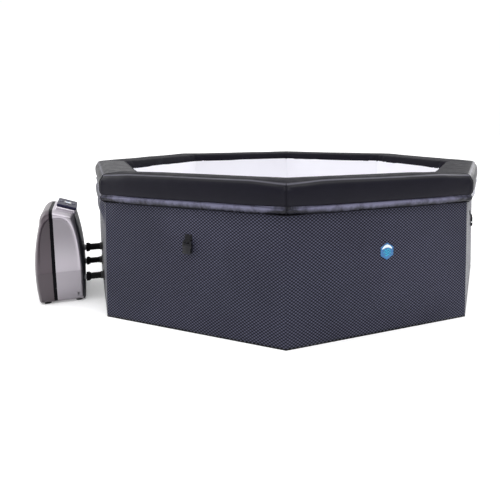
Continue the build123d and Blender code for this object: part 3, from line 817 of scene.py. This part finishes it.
# Side view of the case in millimetres, (x, z); the tub is towards +x
unit = {
    "frontArc": ((-1247, 2.2), (-1265, 170), (-1246, 352)),
    "shoulder": [(-1246, 352), (-1243, 382), (-1235, 404), (-1219, 418), (-1198, 424)],
    "backArc": ((-1104, 397), (-1076, 285), (-1060, 120)),
    "backFoot": [(-1060, 120), (-1059, 2.2)],
    "cornerReach": 8,  # outline points averaged on each side to round a corner
    "outlineSteps": 240,
    "edge": 18, "edgeAcross": 52, "edgeRows": 16,
    "halfWidth": 175,
    "wall": 2.6,
    "bandLine": ((-1178, -50), (-1199, 500)),
    "bandWidth": 14, "bandInset": 1.6, "bandOverlap": 3,
    "archDepth": 13.0, "ledge": 11, "archLeft": -1247, "archRight": -1078, "archTop": 392, "archLean": 14,
    "archPower": 2.8,
    "creaseHeight": 143, "lowerDepth": 15.0,
    "grid": 3,
    "backLine": [(-1104, 398), (-1082, 285), (-1069, 120), (-1069, 0)],  # where silver meets black
    "backGap": 0.3,
}
crease = unit["creaseHeight"]


def arcThrough(a, b, c, steps):
    # Points on the circle through three points, without the last
    ax, ay, bx, by, cx, cy = *a, *b, *c
    aa, bb, cc = ax * ax + ay * ay, bx * bx + by * by, cx * cx + cy * cy
    d = 2 * (ax * (by - cy) + bx * (cy - ay) + cx * (ay - by))
    ux = (aa * (by - cy) + bb * (cy - ay) + cc * (ay - by)) / d
    uy = (aa * (cx - bx) + bb * (ax - cx) + cc * (bx - ax)) / d
    start, middle, end = (atan2(y - uy, x - ux) for x, y in (a, b, c))
    sweep = (end - start) % (2 * pi)
    if (middle - start) % (2 * pi) > sweep:
        sweep -= 2 * pi
    r = hypot(ax - ux, ay - uy)
    angles = [start + sweep * i / steps for i in range(steps)]
    return [(ux + r * cos(angle), uy + r * sin(angle)) for angle in angles]


def resample(points, count):
    closed = points + [points[0]]
    lengths = [0.0]
    for a, b in zip(closed, closed[1:]):
        lengths.append(lengths[-1] + dist(a, b))
    made, seg = [], 0
    for i in range(count):
        want = lengths[-1] * i / count
        while lengths[seg + 1] < want:
            seg += 1
        t = (want - lengths[seg]) / max(1e-9, lengths[seg + 1] - lengths[seg])
        a, b = closed[seg], closed[seg + 1]
        made.append((a[0] + (b[0] - a[0]) * t, a[1] + (b[1] - a[1]) * t))
    return made


def caseOutline():
    points = arcThrough(*unit["frontArc"], 60) + unit["shoulder"]
    points += arcThrough(*unit["backArc"], 40) + unit["backFoot"]
    points = resample(points, 900)
    # Round the corners by averaging along the outline, then even the spacing again
    reach, rounded = unit["cornerReach"], []
    for i in range(len(points)):
        near = [points[(i + k) % len(points)] for k in range(-reach, reach + 1)]
        rounded.append((sum(p[0] for p in near) / len(near), sum(p[1] for p in near) / len(near)))
    return resample(rounded, unit["outlineSteps"])


def archReach(x, z):
    # Below one inside the arch: a flattened superellipse leaning towards the crown
    middle, power = (unit["archLeft"] + unit["archRight"]) / 2, unit["archPower"]
    halfSpan = (unit["archRight"] - unit["archLeft"]) / 2
    rise = clamp((z - crease) / (unit["archTop"] - crease), 0, 1.3)
    off = clamp(abs(x - middle + unit["archLean"] * rise) / halfSpan, 0, 1.5)
    return (off ** power + rise ** power) ** (1 / power)


def archEdge(x, z):
    # Roughly how far inside the arch's edge a point is, in millimetres
    here = archReach(x, z)
    slope = hypot(archReach(x + 1, z) - here, archReach(x, z + 1) - here)
    return (1 - here) / max(slope, 1e-4)


def archInset(x, z):
    # How far the side is pressed in: an arched recess above the crease, a taper below it
    if z < crease:
        return unit["lowerDepth"] * (crease - z) / crease
    lift = clamp((z - crease) / (unit["archTop"] - crease))
    return unit["archDepth"] * lift ** 0.75 * smooth(0, unit["ledge"], archEdge(x, z))


def paintedShade(x, z):
    # Painted shade on the lacquer: darker high in the recess, below the crease, along the back edge
    if z < crease + 0.5:
        return 0.80 + 0.2 * smooth(90, 0, z)
    edge = archEdge(x, z)
    inside = smooth(0, unit["ledge"] * 0.8, edge)
    recess = 0.32 + 0.62 * smooth(crease + 20, unit["archTop"] - 60, z)
    backwards = smooth(-1150, -1095, x)
    border = 0.34 + 0.75 * backwards * smooth(2, -14, edge) * smooth(crease, 230, z)
    # Painted highlight: the shade is taken off the ledge so it reads light
    ledge = smooth(-6, 0, edge) * smooth(10, 5, edge) * smooth(crease + 60, crease + 170, z) * 0.8
    return clamp((border * (1 - inside) + recess * inside) * (1 - ledge))


def cutThrough(bm, faces, spot, normal, reach=1e-6, clear=False):
    # Cuts faces along a plane; with clear, keeps only the side that the normal points away from
    geom = list(faces) + list({e for f in faces for e in f.edges})
    geom += {v for f in faces for v in f.verts}
    return bmesh.ops.bisect_plane(bm, geom=geom, dist=reach, plane_co=spot, plane_no=normal,
                                  clear_outer=clear)


def caseShell():
    outline = caseOutline()
    n = len(outline)
    inward = []
    for i in range(n):
        a, b = outline[i - 1], outline[(i + 1) % n]
        run, rise = b[0] - a[0], b[1] - a[1]
        size = hypot(run, rise)
        inward.append((rise / size, -run / size))
    middle = (sum(p[0] for p in outline) / n, sum(p[1] for p in outline) / n)
    if (middle[0] - outline[0][0]) * inward[0][0] + (middle[1] - outline[0][1]) * inward[0][1] < 0:
        inward = [(-a, -b) for a, b in inward]
    half, rings = unit["halfWidth"], []
    for way in (-1, 1):
        rolled = []
        for step in range(unit["edgeRows"] + 1):
            bend = pi / 2 * (1 - step / unit["edgeRows"])
            inset = unit["edge"] * (1 - cos(bend))
            depth = unit["edgeAcross"] * (1 - sin(bend))
            rolled.append([(x + a * inset, way * (half - depth), z + b * inset)
                           for (x, z), (a, b) in zip(outline, inward)])
        rings += rolled if way < 0 else list(reversed(rolled))
    bm = bmesh.new()
    rows = [[bm.verts.new(Vector(p) * mm) for p in ring] for ring in rings]
    bridge(bm, rows)
    caps = [bm.faces.new(rows[0]), bm.faces.new(list(reversed(rows[-1])))]
    bmesh.ops.recalc_face_normals(bm, faces=bm.faces)
    # Lay a fine grid over the two flat caps, with a row on the crease
    pitch = unit["grid"]
    cuts = [(Vector((x * mm, 0, 0)), Vector((1, 0, 0))) for x in range(-1252, -1066, pitch)]
    cuts += [(Vector((0, 0, z * mm)), Vector((0, 0, 1))) for z in range(crease - 41 * pitch, 420, pitch)]
    for spot, normal in cuts:
        made = cutThrough(bm, [f for f in caps if f.is_valid], spot, normal, 1e-7)
        caps = [g for g in made["geom"] if isinstance(g, bmesh.types.BMFace)]
    flat = {v for f in caps if f.is_valid for v in f.verts}
    # Painted shade for the lacquer, kept per vertex and faded out over the rolled edges
    shade = bm.verts.layers.float.new("paintedShade")
    for v in bm.verts:
        x, z = v.co.x / mm, v.co.z / mm
        inside = abs(v.co.y) / mm - (half - unit["edgeAcross"])
        v[shade] = paintedShade(x, z) * smooth(-20, unit["edgeAcross"] * 0.8, inside)
        if inside > 0:
            share = 1.0 if v in flat else smooth(0, unit["edgeAcross"], inside)
            v.co.y -= copysign(archInset(x, z) * share * mm, v.co.y)
    return bm


whole = caseShell()
halfBand = unit["bandWidth"] / 2


def caseSlice(low, high):
    # Copy of the case between two lines along the band, in millimetres from the band's middle
    bm = whole.copy()
    (lowX, lowZ), (highX, highZ) = unit["bandLine"]
    for off, way in ((low, -1), (high, 1)):
        if off is not None:
            spot, top = Vector((lowX + off, 0, lowZ)) * mm, Vector((highX + off, 0, highZ)) * mm
            along = (top - spot).normalized()
            cutThrough(bm, bm.faces, spot, Vector((along.z, 0, -along.x)) * way, clear=True)
    return bm


def backSide(x, z):
    # Distance past the line between the silver shell and the black back, in millimetres
    line = unit["backLine"]
    for (x1, z1), (x2, z2) in zip(line, line[1:]):
        if z >= z2 or (x2, z2) == line[-1]:
            return x - (x1 + (x2 - x1) * (z - z1) / (z2 - z1))


def cutBack(bm, wantBack, off):
    # Cuts along the back line, one straight stretch at a time, and keeps one side
    line = unit["backLine"]
    for (x1, z1), (x2, z2) in zip(line, line[1:]):
        faces = [f for f in bm.faces if min(v.co.z for v in f.verts) < (z1 + 2) * mm
                 and max(v.co.z for v in f.verts) > (z2 - 2) * mm and f.calc_center_median().x > -1.14]
        way = Vector((x2 - x1, 0, z2 - z1)).normalized()
        cutThrough(bm, faces, Vector(((x1 + off) * mm, 0, z1 * mm)), Vector((way.z, 0, -way.x)))
    centres = [(f, f.calc_center_median() / mm) for f in bm.faces]
    gone = [f for f, c in centres if (backSide(c.x - off, c.z) > 0) != wantBack]
    bmesh.ops.delete(bm, geom=gone, context="FACES")


frontShell = fromBmesh("frontShell", caseSlice(None, -halfBand), *finishOf("mauve_shell"), "front_shell")
overlap = halfBand + unit["bandOverlap"]
centreBand = fromBmesh("centreBand", caseSlice(-overlap, overlap), *finishOf("black_shell"), "centre_band")
inset = centreBand.modifiers.new("inset", "DISPLACE")
inset.strength = -unit["bandInset"] * mm
inset.mid_level = 0
thicken(centreBand, 1.0 * mm)
rearBm = caseSlice(halfBand, None)
backBm = rearBm.copy()
cutBack(rearBm, False, -unit["backGap"])
cutBack(backBm, True, unit["backGap"])
rearShell = fromBmesh("rearShell", rearBm, *finishOf("silver_shell"), "rear_shell")
backPanel = fromBmesh("backPanel", backBm, backPlastic, "black_shell", "back_panel")
for piece in (frontShell, rearShell, backPanel):
    thicken(piece, unit["wall"] * mm)
whole.free()

print("stage: hoses")
hose = {"ridgePitch": 7.0, "ridgeHeight": 0.9, "segments": 40, "mouth": 3, "rowsPerRidge": 8}
union = {"segments": 144, "ribs": 18, "ribDepth": 1.5, "fit": 0.1}


def tubeBox(node):
    # Frame at the start of a part that lies along +x, its length and its radius in millimetres
    low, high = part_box(node)
    middle = (low + high) / 2
    place = axisMatrix((low.x, middle.y, middle.z), (1, 0, 0))
    return place, (high.x - low.x) / mm, (high - low) / 2 / mm


for name in ("suction", "return", "air"):
    place, length, reach = tubeBox(f"{name}_hose")
    radius = reach.y
    steps = int(length / (hose["ridgePitch"] / hose["rowsPerRidge"]))
    profile = [(0.0, radius - hose["mouth"])]
    for i in range(steps + 1):
        at = length * i / steps
        ridge = hose["ridgeHeight"] * (0.5 - 0.5 * cos(2 * pi * at / hose["ridgePitch"]))
        profile.append((at, radius - ridge * smooth(0, 12, at) * smooth(0, 8, length - at)))
    profile.append((length, radius - hose["mouth"]))
    bm = bmesh.new()
    addLathe(bm, profile, place, hose["segments"])
    fromBmesh(f"{name}Hose", bm, *finishOf("hose_rubber"), f"{name}_hose")

    place, length, reach = tubeBox(f"{name}_union")
    outer, inner = reach.z, radius + union["fit"]
    profile = [(0, inner), (0, outer - 1.2), (0.6, outer - 0.4), (1.6, outer), (length - 5.2, outer),
               (length - 4.4, outer - 0.8), (length - 4, outer - 2.4), (length - 0.8, outer - 2.6),
               (length, outer - 3.2), (length, inner)]
    bm = bmesh.new()
    addLathe(bm, profile, place, union["segments"], union["ribs"], union["ribDepth"], ribRows=(2, 3, 4))
    fromBmesh(f"{name}Union", bm, *finishOf("union_plastic"), f"{name}_union", body=f"{name}_union")

print("stage: control panel")
panel = {
    "size": (86, 206), "plinth": 8, "high": 20, "corner": 7,
    "lens": (30, 62), "lensCorner": 4, "lensSunk": 0.4,
    "seatLonger": 4, "seatCorner": 8,
    "digits": ((-6.5, "3"), (6.5, "8")), "digitReach": (8.0, 7.2), "digitBar": (6.0, 1.4),
    "markSize": 2.2, "markPitch": 5, "markAcross": 21, "printThick": 0.3,
}
press = Vector(next(j for j in frame["joints"] if j["name"] == "power_button_press")["axis"])
panelUp, panelAcross = -press.normalized(), Vector((0, 1, 0))
panelDown = panelAcross.cross(panelUp).normalized()
panelLow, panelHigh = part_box("control_panel")
panelTurn = Matrix((panelDown, panelAcross, panelUp)).transposed().to_4x4()
panelFrame = Matrix.Translation((panelLow + panelHigh) / 2) @ panelTurn
half = panel["high"] / 2
foot = panel["plinth"] - half
wide, deep = panel["size"]

bm = bmesh.new()
addSlab(bm, wide, deep, panel["corner"], [
    (-half + 0.2, 3.4), (foot + 0.6, 3.4), (foot + 1.0, 1.4), (foot + 1.6, 0.3), (foot + 2.6, -0.6),
    (half - 4.2, -0.6), (half - 2.0, 0.4), (half - 0.6, 2.4), (half, 5.2), (half, 7.0), (half - 0.5, 7.6),
    (half - 0.5, 12.0)], panelFrame)
fromBmesh("controlPanel", bm, *finishOf("panel_plastic"), "control_panel", sharp=50)

# Raised silver seat under the panel, part of the rear shell
bm = bmesh.new()
addSlab(bm, wide, deep + panel["seatLonger"], panel["seatCorner"],
        [(-half - 12, -1), (-half, -1), (foot - 2.2, 0.6), (foot - 0.9, 2.4), (foot - 0.5, 6.0)], panelFrame)
fromBmesh("panelSeat", bm, *finishOf("silver_shell"), sharp=60)

bm = bmesh.new()
addSlab(bm, *panel["lens"], panel["lensCorner"], [(0, 0), (0.7, 0), (1.0, 0.4)],
        panelFrame @ shift(0, 0, half - panel["lensSunk"]))
fromBmesh("displayLens", bm, *finishOf("display_glass"), "display_lens")

# Two generic seven-segment digits and a row of status marks on the display
segments = {"a": (0, 1), "b": (0.5, 0.5), "c": (0.5, -0.5), "d": (0, -1),
            "e": (-0.5, -0.5), "f": (-0.5, 0.5), "g": (0, 0)}
digits = {"3": "abgcd", "8": "abcdefg"}
bm = bmesh.new()
lensTop = half + 0.7
reachAcross, reachUp = panel["digitReach"]
for across, digit in panel["digits"]:
    for right, up in (segments[key] for key in digits[digit]):
        long, thin = panel["digitBar"] if right else reversed(panel["digitBar"])
        spot = panelFrame @ shift(-up * reachUp, across + right * reachAcross, lensTop)
        addBox(bm, (long, thin, panel["printThick"]), spot, 0.1)
for i in range(4):
    spot = panelFrame @ shift((i - 1.5) * panel["markPitch"], panel["markAcross"], lensTop)
    addBox(bm, (panel["markSize"], panel["markSize"], panel["printThick"]), spot, 0.1)
fromBmesh("displayDigits", bm, lensGlow, "display_glass")

button = {"radius": 7, "proud": 1.6, "root": 3.4}
buttonMarks = {"power_button": "ring", "heat_button": "waves",
               "bubble_button": "dots", "filter_button": "bars"}
top, root, radius = half + button["proud"], half - button["root"], button["radius"]
face = top - 0.15
for name, mark in buttonMarks.items():
    low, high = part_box(name)
    local = panelFrame.inverted() @ ((low + high) / 2)
    spot = panelFrame @ Matrix.Translation((local.x, local.y, 0))
    pieceName = name.replace("_b", "B")
    bm = bmesh.new()
    addLathe(bm, [(root, 0.4), (root, radius), (top - 0.9, radius), (top - 0.3, radius - 0.3),
                  (top, radius - 1.0), (top - 0.25, radius * 0.5), (top - 0.3, 0.4)], spot, 48)
    bmesh.ops.remove_doubles(bm, verts=bm.verts, dist=0.00001)
    fromBmesh(pieceName, bm, *finishOf("button_plastic"), name, body=name)
    bm = bmesh.new()
    if mark == "ring":
        addLathe(bm, [(face, 2.2), (face + 0.25, 2.2), (face + 0.25, 3.2), (face, 3.2)], spot, 32)
        addBox(bm, (3.4, 0.9, 0.3), spot @ shift(-2.6, 0, face + 0.12), 0.08)
    elif mark == "dots":
        for x, y, r in ((-1.6, -1.2, 1.3), (1.4, -1.0, 1.0), (0.2, 1.9, 1.5)):
            addLathe(bm, [(face, r), (face + 0.25, r), (face + 0.25, 0.5 * r), (face, 0.5 * r)],
                     spot @ shift(x, y), 20)
    else:
        tilt = Matrix.Rotation(0.35 if mark == "waves" else 0.0, 4, "Z")
        for i in range(3):
            addBox(bm, (5.4, 0.8, 0.3), spot @ shift(0, (i - 1) * 2.1, face + 0.12) @ tilt, 0.08)
    fromBmesh(pieceName + "Mark", bm, iconWhite, "button_plastic", body=name)

print("stage: buckles")
buckle = {
    "angles": (45, 135, 225, 315),
    "pivotHeight": 356, "pivotOut": 9, "hang": 29,
    "tall": 38, "deep": 10,
    "barRadius": 2.4, "barHalf": 17,
    "webWidth": 25, "webThick": 1.3, "webBend": 3.5,
    "patchRise": 15, "patch": (32, 20, 3),
    "stitches": 24,
}


def addRibbon(bm, path, width, thickness, place):
    # Flat tape along a path of (out, up), as wide as it says along the wall
    rows = []
    for i, (out, up) in enumerate(path):
        a, b = path[max(0, i - 1)], path[min(len(path) - 1, i + 1)]
        run, rise = b[0] - a[0], b[1] - a[1]
        size = hypot(run, rise) or 1
        nx, ny = -rise / size * thickness / 2, run / size * thickness / 2
        rows.append([bm.verts.new(place @ (Vector((across * width / 2, up + way * ny, out + way * nx)) * mm))
                     for across, way in ((-1, 1), (1, 1), (1, -1), (-1, -1))])
    bridge(bm, rows, lids=True)


# Web loop behind the bar, as (out, up) from the pivot's height on the wall
loop = [(1.6, 24), (1.7, 20), (1.8, 16), (2.6, 11), (4.8, 6)]
for i in range(9):
    a, bend = radians(115 - 230 * i / 8), buckle["webBend"]
    loop.append((buckle["pivotOut"] + bend * cos(a), bend * sin(a)))
loop += [(4.4, -2.5), (2.6, 2), (1.0, 10), (0.7, 16), (0.6, 22)]
stitchCorners = [(-10.5, 7), (10.5, 7), (10.5, -5), (-10.5, -5), (-10.5, 7)]

# Blocks of one buckle: size, place from the pivot, bevel and segments
low, tall, deep = -buckle["hang"], buckle["tall"], buckle["deep"]
blocks = []
for way in (-1, 1):
    blocks += [((5, 15, 6.5), (way * 16, -5, 0), 1.2, 2), ((4, 16, deep), (way * 18, low + 11, 0), 1.2, 2),
               ((3.4, 9, deep * 0.8), (way * 18, low - 14, 0), 1.2, 2),
               ((34, tall, 2.1), (0, low, way * (deep / 2 - 1.05)), 0.9, 2)]
blocks += [((38.5, 8, deep), (0, low + 17, 0), 1.8, 3), ((39, 5, deep + 0.6), (0, low + 11, 0), 1.0, 2)]
blocks += [((16, 1.2, 1.0), (0, low - 4 - 4 * i, deep / 2), 0.3, 1) for i in range(3)]  # grip ribs

strapBm, stitchBm = bmesh.new(), bmesh.new()
for number, degrees in enumerate(buckle["angles"]):
    addRibbon(strapBm, loop, buckle["webWidth"], buckle["webThick"],
              wallFrame(degrees, 0, buckle["pivotHeight"]))
    patch = wallFrame(degrees, 0, buckle["pivotHeight"] + buckle["patchRise"])
    addSlab(strapBm, *buckle["patch"], [(0.2, 0), (0.9, 0), (1.3, 0.6)], patch)
    for i in range(buckle["stitches"]):
        t = i / buckle["stitches"] * 4
        (ax, ay), (bx, by) = stitchCorners[int(t)], stitchCorners[int(t) + 1]
        share = t % 1 + 0.08
        lean = Matrix.Rotation(atan2(by - ay, bx - ax), 4, "Z")
        spot = shift(ax + (bx - ax) * share, ay + (by - ay) * share, 2.5)
        addBox(stitchBm, (2.4, 0.7, 0.6), patch @ spot @ lean, 0.2)

    pivot = wallFrame(degrees, 0, buckle["pivotHeight"], buckle["pivotOut"])
    bm = bmesh.new()
    reach, radius = buckle["barHalf"], buckle["barRadius"]
    addLathe(bm, [(-reach, 0.3), (-reach, radius), (reach, radius), (reach, 0.3)],
             pivot @ Matrix.Rotation(pi / 2, 4, "Y"), 20)
    for size, spot, bevel, rounds in blocks:
        addBox(bm, size, pivot @ shift(*spot), bevel, rounds)
    node = f"buckle_{number + 1}"
    fromBmesh(f"buckle{number + 1}", bm, *finishOf("buckle_plastic"), node, body=node)
fromBmesh("buckleStraps", strapBm, *finishOf("black_webbing"), "buckle_straps")
fromBmesh("strapStitches", stitchBm, threadGrey, "black_webbing")

print("stage: badge")
badge = {
    "radius": 33, "thick": 1.8, "bevel": 0.8, "border": 3.0, "along": 14, "height": 315,
    "strokeRise": 0.12, "strokeRoot": -0.35, "strokeSteps": 28,
    "peak": {"half": 22, "top": 20, "fall": 0.022, "width": 5.6},
    "ripples": ((5, 17), (-5, 18), (-15, 13)),  # height and half length
    "ripple": {"width": 2.6, "swing": 3.0, "wave": 18},
}
badgeFrame = wallFrame(-90, badge["along"], badge["height"])
thick = badge["thick"]
rings = []
bm = bmesh.new()
for height, inset in ((0.2, 0), (thick - 0.8, 0), (thick, badge["bevel"]), (thick, badge["border"]),
                      (thick - 0.4, badge["border"] + 0.5)):
    r = badge["radius"] - inset
    rings.append([bm.verts.new(badgeFrame @ (Vector((r * sin(a), r * cos(a), height)) * mm))
                  for a in (pi / 3 * i for i in range(6))])
bridge(bm, rings)
bm.faces.new(rings[-1])
fromBmesh("badgePlate", bm, *finishOf("badge_blue"), "badge", sharp=25)


def addStroke(bm, curve, halfWidth, span, reach, least):
    # Flat raised stroke along a curve y(x) on the badge, tapering to both ends
    rows, steps = [], badge["strokeSteps"]
    for x in (-span + 2 * span * i / steps for i in range(steps + 1)):
        w = halfWidth * sqrt(max(least, 1 - (x / reach) ** 2))
        rows.append([bm.verts.new(badgeFrame @ (Vector((x, curve(x) + way * w, thick + rise)) * mm))
                     for way, rise in ((-1, badge["strokeRoot"]), (-1, badge["strokeRise"]),
                                       (1, badge["strokeRise"]), (1, badge["strokeRoot"]))])
    for low, high in zip(rows, rows[1:]):
        for i in range(3):
            bm.faces.new((low[i], low[i + 1], high[i + 1], high[i]))


# Plain emblem: a white peak over teal ripples
peak, ripple = badge["peak"], badge["ripple"]
bm = bmesh.new()
addStroke(bm, lambda x: peak["top"] - peak["fall"] * x * x, peak["width"], peak["half"],
          peak["half"] + 0.5, 0.04)
fromBmesh("badgePeak", bm, badgeWhite, "badge_blue")
bm = bmesh.new()
for level, span in badge["ripples"]:
    addStroke(bm, lambda x: level + ripple["swing"] * sin(x / ripple["wave"] * 2 * pi),
              ripple["width"], span, span, 0.05)
fromBmesh("badgeRipples", bm, badgeTeal, "badge_blue")

print("stage: floor, lights, camera")
stageLook = {
    "floorColour": (0.90, 0.90, 0.905), "floorSize": 60, "floorLift": 0.22,
    "skyNear": 0.30, "skyFar": 1.02,  # behind the camera, and behind the tub
    "skyWay": (0.38, 0.92, 0.25), "skyFade": (-0.7, 0.35),
    "overhead": {"power": 1.35, "spread": 60, "from": (-0.15, -0.25, 1.0)},
    "boxes": {  # place, aim, size, power
        "leftBox": ((-4.2, 1.2, 2.0), (-0.9, 0, 0.4), (3.0, 2.4), 60),
        "rightBox": ((4.4, 0.8, 2.2), (0.9, 0, 0.4), (3.0, 2.4), 50),
        "frontTop": ((0.6, -3.2, 4.4), (0, -0.9, 0.5), (3.4, 0.8), 60),
    },
}
s = Shader("floorPale", stageLook["floorColour"], 0.8)
s.mottle(s.noise(0.8, 2.0), stageLook["floorColour"], 0.99, 1)
s.set(Specular_IOR_Level=0.1, Emission_Color=(1, 1, 1, 1), Emission_Strength=stageLook["floorLift"])
bpy.ops.mesh.primitive_plane_add(size=stageLook["floorSize"], location=(0, 0, 0))
floor = bpy.context.object
floor.name = "paleFloor"
floor.data.materials.append(s.material)

world = bpy.data.worlds.new("paleStudio")
bpy.context.scene.world = world
world.use_nodes = True
tree = world.node_tree
sky = tree.nodes["Background"]
sky.inputs["Color"].default_value = (1, 1, 1, 1)
facing = tree.nodes.new("ShaderNodeTexCoord")
towards = tree.nodes.new("ShaderNodeVectorMath")
towards.operation = "DOT_PRODUCT"
towards.inputs[1].default_value = stageLook["skyWay"]
tree.links.new(facing.outputs["Generated"], towards.inputs[0])
fade = tree.nodes.new("ShaderNodeMapRange")
for key, number in zip(("From Min", "From Max", "To Min", "To Max"),
                       (*stageLook["skyFade"], stageLook["skyNear"], stageLook["skyFar"])):
    fade.inputs[key].default_value = number
tree.links.new(towards.outputs["Value"], fade.inputs["Value"])
rays = tree.nodes.new("ShaderNodeLightPath")
plainSky = tree.nodes.new("ShaderNodeMix")  # the backdrop itself is even, the light it gives isn't
plainSky.inputs["B"].default_value = stageLook["skyFar"]
tree.links.new(rays.outputs["Is Camera Ray"], plainSky.inputs["Factor"])
tree.links.new(fade.outputs["Result"], plainSky.inputs["A"])
tree.links.new(plainSky.outputs["Result"], sky.inputs["Strength"])


def setUp(name, data, place, away):
    # Puts a light or the camera in the scene, facing the other way from a direction
    thing = bpy.data.objects.new(name, data)
    bpy.context.scene.collection.objects.link(thing)
    thing.matrix_world = axisMatrix(place, away)
    return thing


overhead = bpy.data.lights.new("overhead", "SUN")
overhead.energy = stageLook["overhead"]["power"]
overhead.angle = radians(stageLook["overhead"]["spread"])
setUp("overhead", overhead, (0, 0, 5), stageLook["overhead"]["from"])
for name, (place, aim, size, power) in stageLook["boxes"].items():
    data = bpy.data.lights.new(name, "AREA")
    data.shape = "RECTANGLE"
    data.size, data.size_y = size
    data.energy = power
    setUp(name, data, place, Vector(place) - Vector(aim))

camera = {
    "place": (-1.0409, -2.5131, 0.7906),
    "heading": 22.5,  # degrees from +Y towards +X
    "down": 2.81,
    "lens": 34.67,
    "shift": (-0.0724, -0.199),
}
heading, down = radians(camera["heading"]), radians(camera["down"])
look = Vector((sin(heading) * cos(down), cos(heading) * cos(down), -sin(down)))
cameraData = bpy.data.cameras.new("mainCamera")
cameraData.lens = camera["lens"]
cameraData.shift_x, cameraData.shift_y = camera["shift"]
bpy.context.scene.camera = setUp("mainCamera", cameraData, camera["place"], -look)
bpy.context.scene.view_settings.view_transform = "Standard"
